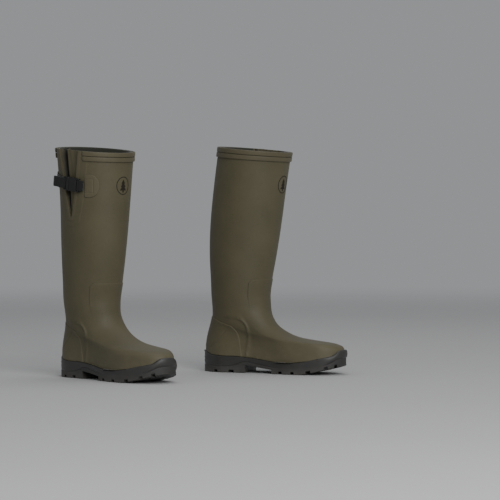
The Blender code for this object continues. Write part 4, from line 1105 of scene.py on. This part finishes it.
def make_mark(side):
    """An annulus and a tree of three skirts and a trunk, as thin solids on the skin, in one piece."""
    turn = np.arange(96) * 2 * math.pi / 96
    radius = np.array([16.2, 17.6]) * MM
    ring = radius[:, None, None] * np.stack([np.cos(turn), np.sin(turn)], axis=-1)[None]
    steps = [(-13, 1.6), (-9, 1.6), (-9, 9), (-2.2, 3.2), (-2.2, 7), (4.2, 2.2), (4.2, 5), (11.5, 0.2)]
    rows = np.array(steps) * MM
    across = np.linspace(-1, 1, 7)
    tree = np.stack([rows[:, 1:] * across, rows[:, :1] + 0 * across[None]], axis=-1)
    points, quads, base = [], [], 0
    for flat, wrap in ((ring, True), (tree, False)):
        height = np.full(flat.shape[:2], 0.35 * MM)
        p, q = both_skins(on_skin(side, MARK_PLACE, flat, height), on_skin(side, MARK_PLACE, flat, height * 0.1), wrap)
        points.append(p)
        quads.append(outward(to_world(side, p), q) + base)
        base += len(p)
    make_piece("shin_mark", side, np.concatenate(points), np.concatenate(quads), side + "_boot", MARK,
               [side + "_badge"])


curve = np.linspace(math.pi / 2, -math.pi / 2, 40)
bow = np.column_stack([10.5 + 19.5 * np.cos(curve), 22.5 * np.sin(curve)])
D_SHAPE = resampled(np.vstack([[(0, 22.5)], bow, [(0, -22.5)]]) * MM, 160, 3)
STITCH_BOX = np.array([(0.5, 13), (17, 13), (17, -13), (0.5, -13)]) * MM
OBLONG = resampled(np.array([(0, 16), (0, -16), (-17, -16), (-17, 16)]) * MM, 160, 3)
for side in MIRROR:
    make_pad(side, "strap_pad_front", "_strap_anchor_front", (FRONT_ANCHOR, strap_height(FRONT_ANCHOR)), D_SHAPE,
             1.8 * MM, STITCH_BOX)
    make_pad(side, "strap_pad_rear", "_strap_anchor_rear", (REAR_ANCHOR, strap_height(REAR_ANCHOR)), OBLONG, 1.8 * MM)
    make_mark(side)
print("pads and marks made")

# %% [markdown]
# ## The buckle
#
# A side-release buckle has a sleeve, and a clip with a tongue and two springy prongs that snap into the sleeve's side
# windows. Its own frame comes from the joints: forwards against the clip's slide, up from the lower prong's hinge to
# the upper's, and outwards across both.

# %% The buckle
HALF_BUCKLE = 13.5 * MM
HALF_THICK = 3.2 * MM
MOUTH = -9 * MM
WEB_ROOM = 10.6 * MM


def buckle_frame(side):
    """Origin and axes of the buckle in the right boot's frame."""
    turn = STANCE[side][0]
    upper, lower = (to_boot(side, joints[f"{side}_prong_{k}_squeeze"]["pos_m"]) for k in ("upper", "lower"))
    ahead = -(np.array(joints[side + "_clip_slide"]["axis"]) @ turn) * np.array([1, MIRROR[side], 1])
    across = (upper - lower) / np.linalg.norm(upper - lower)
    return (upper + lower) / 2 - MOUTH * ahead, np.array([ahead, across, np.cross(ahead, across)])


def in_buckle(side, x, y, z):
    """Distances along, across and outwards, as points of the boot."""
    origin, axes = buckle_frame(side)
    return origin + np.stack(np.broadcast_arrays(x, y, z), axis=-1) @ axes


def pillow(side, x, y, middle, half, border, keep=None, edge=0.3):
    """Two faces at middle plus and minus half, rolled together near the border; edge is the share left there."""
    swell = half * (edge + (1 - edge) * roll_off(border, 1.2 * MM))
    return both_skins(in_buckle(side, x, y, middle + swell), in_buckle(side, x, y, middle - swell), keep=keep)


def joined(side, *solids):
    """Several closed solids as one set of points and quads, each facing outwards."""
    points, quads, base = [], [], 0
    for p, q in solids:
        points.append(p)
        quads.append(outward(to_world(side, p), q) + base)
        base += len(p)
    return np.concatenate(points), np.concatenate(quads)


def slotted_plate(side, low, high, slot, crown=0.35 * MM, ribs=()):
    """A plate from low to high along the strap, with a slot for webbing and raised ribs across it."""
    x = np.unique(np.round(np.concatenate([np.linspace(low, high, 60), slot]), 6))[:, None]
    y = np.unique(np.round(np.concatenate([np.linspace(-HALF_BUCKLE, HALF_BUCKLE, 80), [-WEB_ROOM, WEB_ROOM]]), 6))[None]
    to_slot = np.maximum(np.maximum(slot[0] - x, x - slot[1]), np.abs(y) - WEB_ROOM)
    border = np.minimum(np.minimum(x - low, high - x), HALF_BUCKLE - np.abs(y))
    border = np.minimum(border, np.maximum(to_slot, 0))
    bar = np.where((np.abs(y) < WEB_ROOM) & ((x < slot[0]) if slot[0] - low < high - slot[1] else (x > slot[1])), 0.5, 1)
    half = HALF_THICK * bar - crown * (y / HALF_BUCKLE) ** 2 * (bar == 1)
    half = half + sum(0.35 * MM * np.exp(-(((x - at) / (0.5 * MM)) ** 2)) * (np.abs(y) < 8 * MM) for at in ribs)
    mid_x, mid_y = (x[1:] + x[:-1]) / 2, (y[:, 1:] + y[:, :-1]) / 2
    keep = ~((mid_x > slot[0]) & (mid_x < slot[1]) & (np.abs(mid_y) < WEB_ROOM))
    return pillow(side, x + 0 * y, y + 0 * x, 0, half, border, keep)


def lip(side, sign):
    """One of the sleeve's two faces, a crowned plate 1.3 mm thick in front of the clip's tongue."""
    x = np.linspace(MOUTH, 5.2 * MM, 40)[:, None]
    y = np.linspace(-1, 1, 60)[None] * (HALF_BUCKLE - 1.1 * MM * ease((x - MOUTH) / (14 * MM)) * ease((5 * MM - x) / (6 * MM)))
    border = np.minimum(x - MOUTH, HALF_BUCKLE - np.abs(y))
    middle = sign * (HALF_THICK - 0.68 * MM) - sign * 0.3 * MM * (y / HALF_BUCKLE) ** 2
    return pillow(side, x + 0 * y, y, middle, 0.65 * MM, border, edge=0.5)


def make_buckle(side):
    """The sleeve's plate and lips; the clip's ladder and tongue; and each prong between two edge curves."""
    sleeve = slotted_plate(side, 4.2 * MM, 15 * MM, (9 * MM, 12.6 * MM), ribs=(6 * MM, 7.5 * MM))
    points, quads = joined(side, sleeve, lip(side, 1), lip(side, -1))
    make_piece("buckle_sleeve", side, points, quads, side + "_boot", ACETAL,
               [side + "_buckle_socket"], sharp=50)
    back = MOUTH - 0.3 * MM
    ladder = slotted_plate(side, back - 13 * MM, back, (back - 10.6 * MM, back - 7 * MM),
                           ribs=(back - 2.5 * MM, back - 4.2 * MM))
    x = np.linspace(back - 1 * MM, back + 13 * MM, 40)[:, None]
    y = np.linspace(-1, 1, 16)[None] * (3 * MM - 0.8 * MM * ease((x - back - 9 * MM) / (4 * MM)))
    border = np.minimum(3 * MM - np.abs(y), back + 13 * MM - x)
    tongue = pillow(side, x + 0 * y, y, 0, 1.6 * MM, border, edge=0.5)
    points, quads = joined(side, ladder, tongue)
    make_piece("buckle_ladder", side, points, quads, side + "_clip", ACETAL,
               [side + "_buckle_clip"], sharp=50)
    for name, sign in (("upper", 1), ("lower", -1)):
        t = np.linspace(0, 1, 40)[:, None]
        inner = 8.3 * MM + 0.9 * MM * ease((t - 0.55) / 0.45)
        outer = 11.5 * MM + 2.0 * MM * ease((t - 0.22) / 0.25) - 1.5 * MM * ease((t - 0.82) / 0.18)
        s = np.linspace(0, 1, 14)[None]
        border = np.minimum(np.minimum(s, 1 - s) * (outer - inner), (1 - t) * 12 * MM)
        points, quads = pillow(side, MOUTH + 12.5 * MM * t + 0 * s, sign * (inner + (outer - inner) * s), 0,
                               1.6 * MM, border, edge=0.5)
        make_piece("prong_" + name, side, points, quads, f"{side}_prong_{name}", ACETAL,
                   [f"{side}_clip_prong_{name}"], sharp=50)


for side in MIRROR:
    make_buckle(side)
print("buckles made")

# %% [markdown]
# ## The webbing
#
# A short loop of webbing goes through the sleeve's bar and back to the front pad. The long one goes from the rear pad
# up through the ladder and back over it, and its doubled end sticks out behind. The path is smoothed through its
# corners, and a flat rounded section is carried along it.

# %% The webbing
WEB = 1.6 * MM
STRAP_CLEARANCE = 3.3 * MM


def on_strap(side, u, proud):
    """Distances along and outwards, in the buckle's frame, of a place on the shaft under the strap."""
    origin, axes = buckle_frame(side)
    u = np.atleast_1d(u)
    x, _, z = np.moveaxis((skin(side, u, level_at(side, u, strap_height(u)), np.full(u.shape, proud)) - origin) @ axes.T,
                          -1, 0)
    return np.column_stack([x, z])


def webbing(side, name, node, path, body, half=10 * MM, thick=WEB):
    """A rounded 20 by 1.6 mm section along the path; the UV map is in metres along and across."""
    track = rounded_path(np.asarray(path), 130)
    step = np.gradient(track, axis=0)
    step /= np.linalg.norm(step, axis=1, keepdims=True)
    across, out = rounded_section(-half, half, 0, 32, 0.35)
    out = (out - out.min()) / (out.max() - out.min()) * thick - thick / 2
    x = track[:, :1] - step[:, 1:] * out[None]
    z = track[:, 1:] + step[:, :1] * out[None]
    section = in_buckle(side, x, across[None] + 0 * x, z)
    points, quads = swept(section)
    far = np.concatenate([[0], np.cumsum(np.hypot(*np.diff(track, axis=0).T))])
    far = np.concatenate([far[:1], far, far[-1:]])
    uv = np.stack([far[:, None] + 0 * across[None], across[None] + 0 * far[:, None]], axis=-1)
    return make_piece(name, side, points, quads, body, WEBBING, [side + node], uv=uv, sharp=70)


def make_straps(side):
    """Both paths, as distances along and outwards, in the buckle's frame."""
    layer, side_of_bar = WEB / 2 + STRAP_CLEARANCE, 2.4 * MM
    near = FRONT_ANCHOR - 0.5 * MM / CALF_RADIUS
    loop = np.vstack([
        on_strap(side, near, layer + WEB + 0.3 * MM),
        np.array([(16.5, 2.4), (11.4, 2.4), (10.6, 1.4), (10.6, -1.4), (11.4, -2.4), (15.5, -2.4)]) * MM,
        on_strap(side, near, layer),
    ])
    webbing(side, "short_webbing", "_strap_loop", loop, side + "_boot")
    slot, end = MOUTH - 9.1 * MM, MOUTH - 13.3 * MM
    far = REAR_ANCHOR + 1.5 * MM / CALF_RADIUS
    long = np.vstack([
        on_strap(side, np.linspace(far, far + 0.33, 4), layer),
        [(end, -side_of_bar), (slot - 0.6 * MM, -side_of_bar), (slot + 0.2 * MM, -1.4 * MM), (slot + 0.2 * MM, 1.4 * MM),
         (slot - 0.6 * MM, side_of_bar), (end - 2 * MM, side_of_bar), (end - 13 * MM, side_of_bar - 1 * MM),
         (end - 24 * MM, side_of_bar - 2 * MM),
         (end - 25.4 * MM, side_of_bar - 3 * MM), (end - 24 * MM, side_of_bar - 4 * MM),
         (end - 14 * MM, side_of_bar - 3.2 * MM)],
    ])
    strap = webbing(side, "long_webbing", "_strap_long", long, None)
    start, stop = (to_world(side, in_buckle(side, x, 0.0, z)) for x, z in (long[0], (end, 0.0)))
    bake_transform(strap)


for side in MIRROR:
    make_straps(side)

# %% [markdown]
# ## Light, floor and camera
#
# The boots stand on a pale matt floor, a disc that fades out at its border into the pale grey surround, so that it
# looks the same from every side. One broad soft light is high in front and to the right, and weaker ones fill the
# left and the top.


# %% Light, floor and camera
def studio_floor():
    """Matt paint: an even grey with the slightest mottle, clear beyond 4 m and solid within 2 m."""
    m = new_material("studio floor, matt paint")
    place = add_node(m, "TexCoord").outputs["Object"]
    cloud = add_node(m, "TexNoise", {"Vector": place, "Scale": 3.0})
    colour = add_node(m, "Mix", {"Factor": cloud.outputs["Fac"], "A": linear("#B9B9B9"), "B": linear("#BDBDBD")},
                      data_type="RGBA")
    paint = add_node(m, "BsdfPrincipled", {"Base Color": colour.outputs[2], "Roughness": 0.85,
                                           "Specular IOR Level": 0.3})
    away = add_node(m, "VectorMath", {0: place}, operation="LENGTH")
    fade = add_node(m, "MapRange", {"Value": away.outputs["Value"], "From Min": 2.0, "From Max": 4.0},
                    interpolation_type="SMOOTHSTEP")
    shader = add_node(m, "MixShader", {0: fade.outputs[0], 1: paint.outputs[0],
                                       2: add_node(m, "BsdfTransparent").outputs[0]})
    return finish_material(m, shader)


def make_floor():
    """A flat disc, 4 m in radius."""
    turn = np.linspace(0, 2 * math.pi, 96, endpoint=False)
    disc = 4.0 * np.stack([np.cos(turn), np.sin(turn), 0 * turn], axis=-1)
    mesh = bpy.data.meshes.new("floor")
    mesh.from_pydata(disc.tolist(), [], [list(range(len(turn)))])
    mesh.materials.append(studio_floor())
    floor = bpy.data.objects.new("floor", mesh)
    bpy.context.scene.collection.objects.link(floor)


def add_light(name, place, aim, size, power):
    """A square soft light, turned to face its aim."""
    light = bpy.data.lights.new(name, "AREA")
    light.size, light.energy = size, power
    lamp = bpy.data.objects.new(name, light)
    lamp.location = place
    lamp.rotation_euler = (Vector(aim) - lamp.location).to_track_quat("-Z", "Y").to_euler()
    bpy.context.scene.collection.objects.link(lamp)


make_floor()
add_light("key", (1.2, -3.2, 1.9), (0.1, 0.0, 0.2), 2.4, 97)
add_light("fill", (-2.6, -2.0, 1.2), (0.1, 0.0, 0.2), 1.6, 3)
add_light("top", (0.2, 0.6, 3.0), (0.1, 0.0, 0.0), 1.6, 16)
world = bpy.data.worlds.new("studio")
world.use_nodes = True
world.node_tree.nodes["Background"].inputs["Color"].default_value = linear("#C4C6C8")
world.node_tree.nodes["Background"].inputs["Strength"].default_value = 0.55
bpy.context.scene.world = world
camera = bpy.data.objects.new("camera", bpy.data.cameras.new("camera"))
camera.data.lens = 218.16
camera.data.clip_end = 50
camera.location = (0.0951, -6.0, 0.46)
camera.rotation_euler = (math.radians(88), 0, 0)
bpy.context.scene.collection.objects.link(camera)
bpy.context.scene.camera = camera
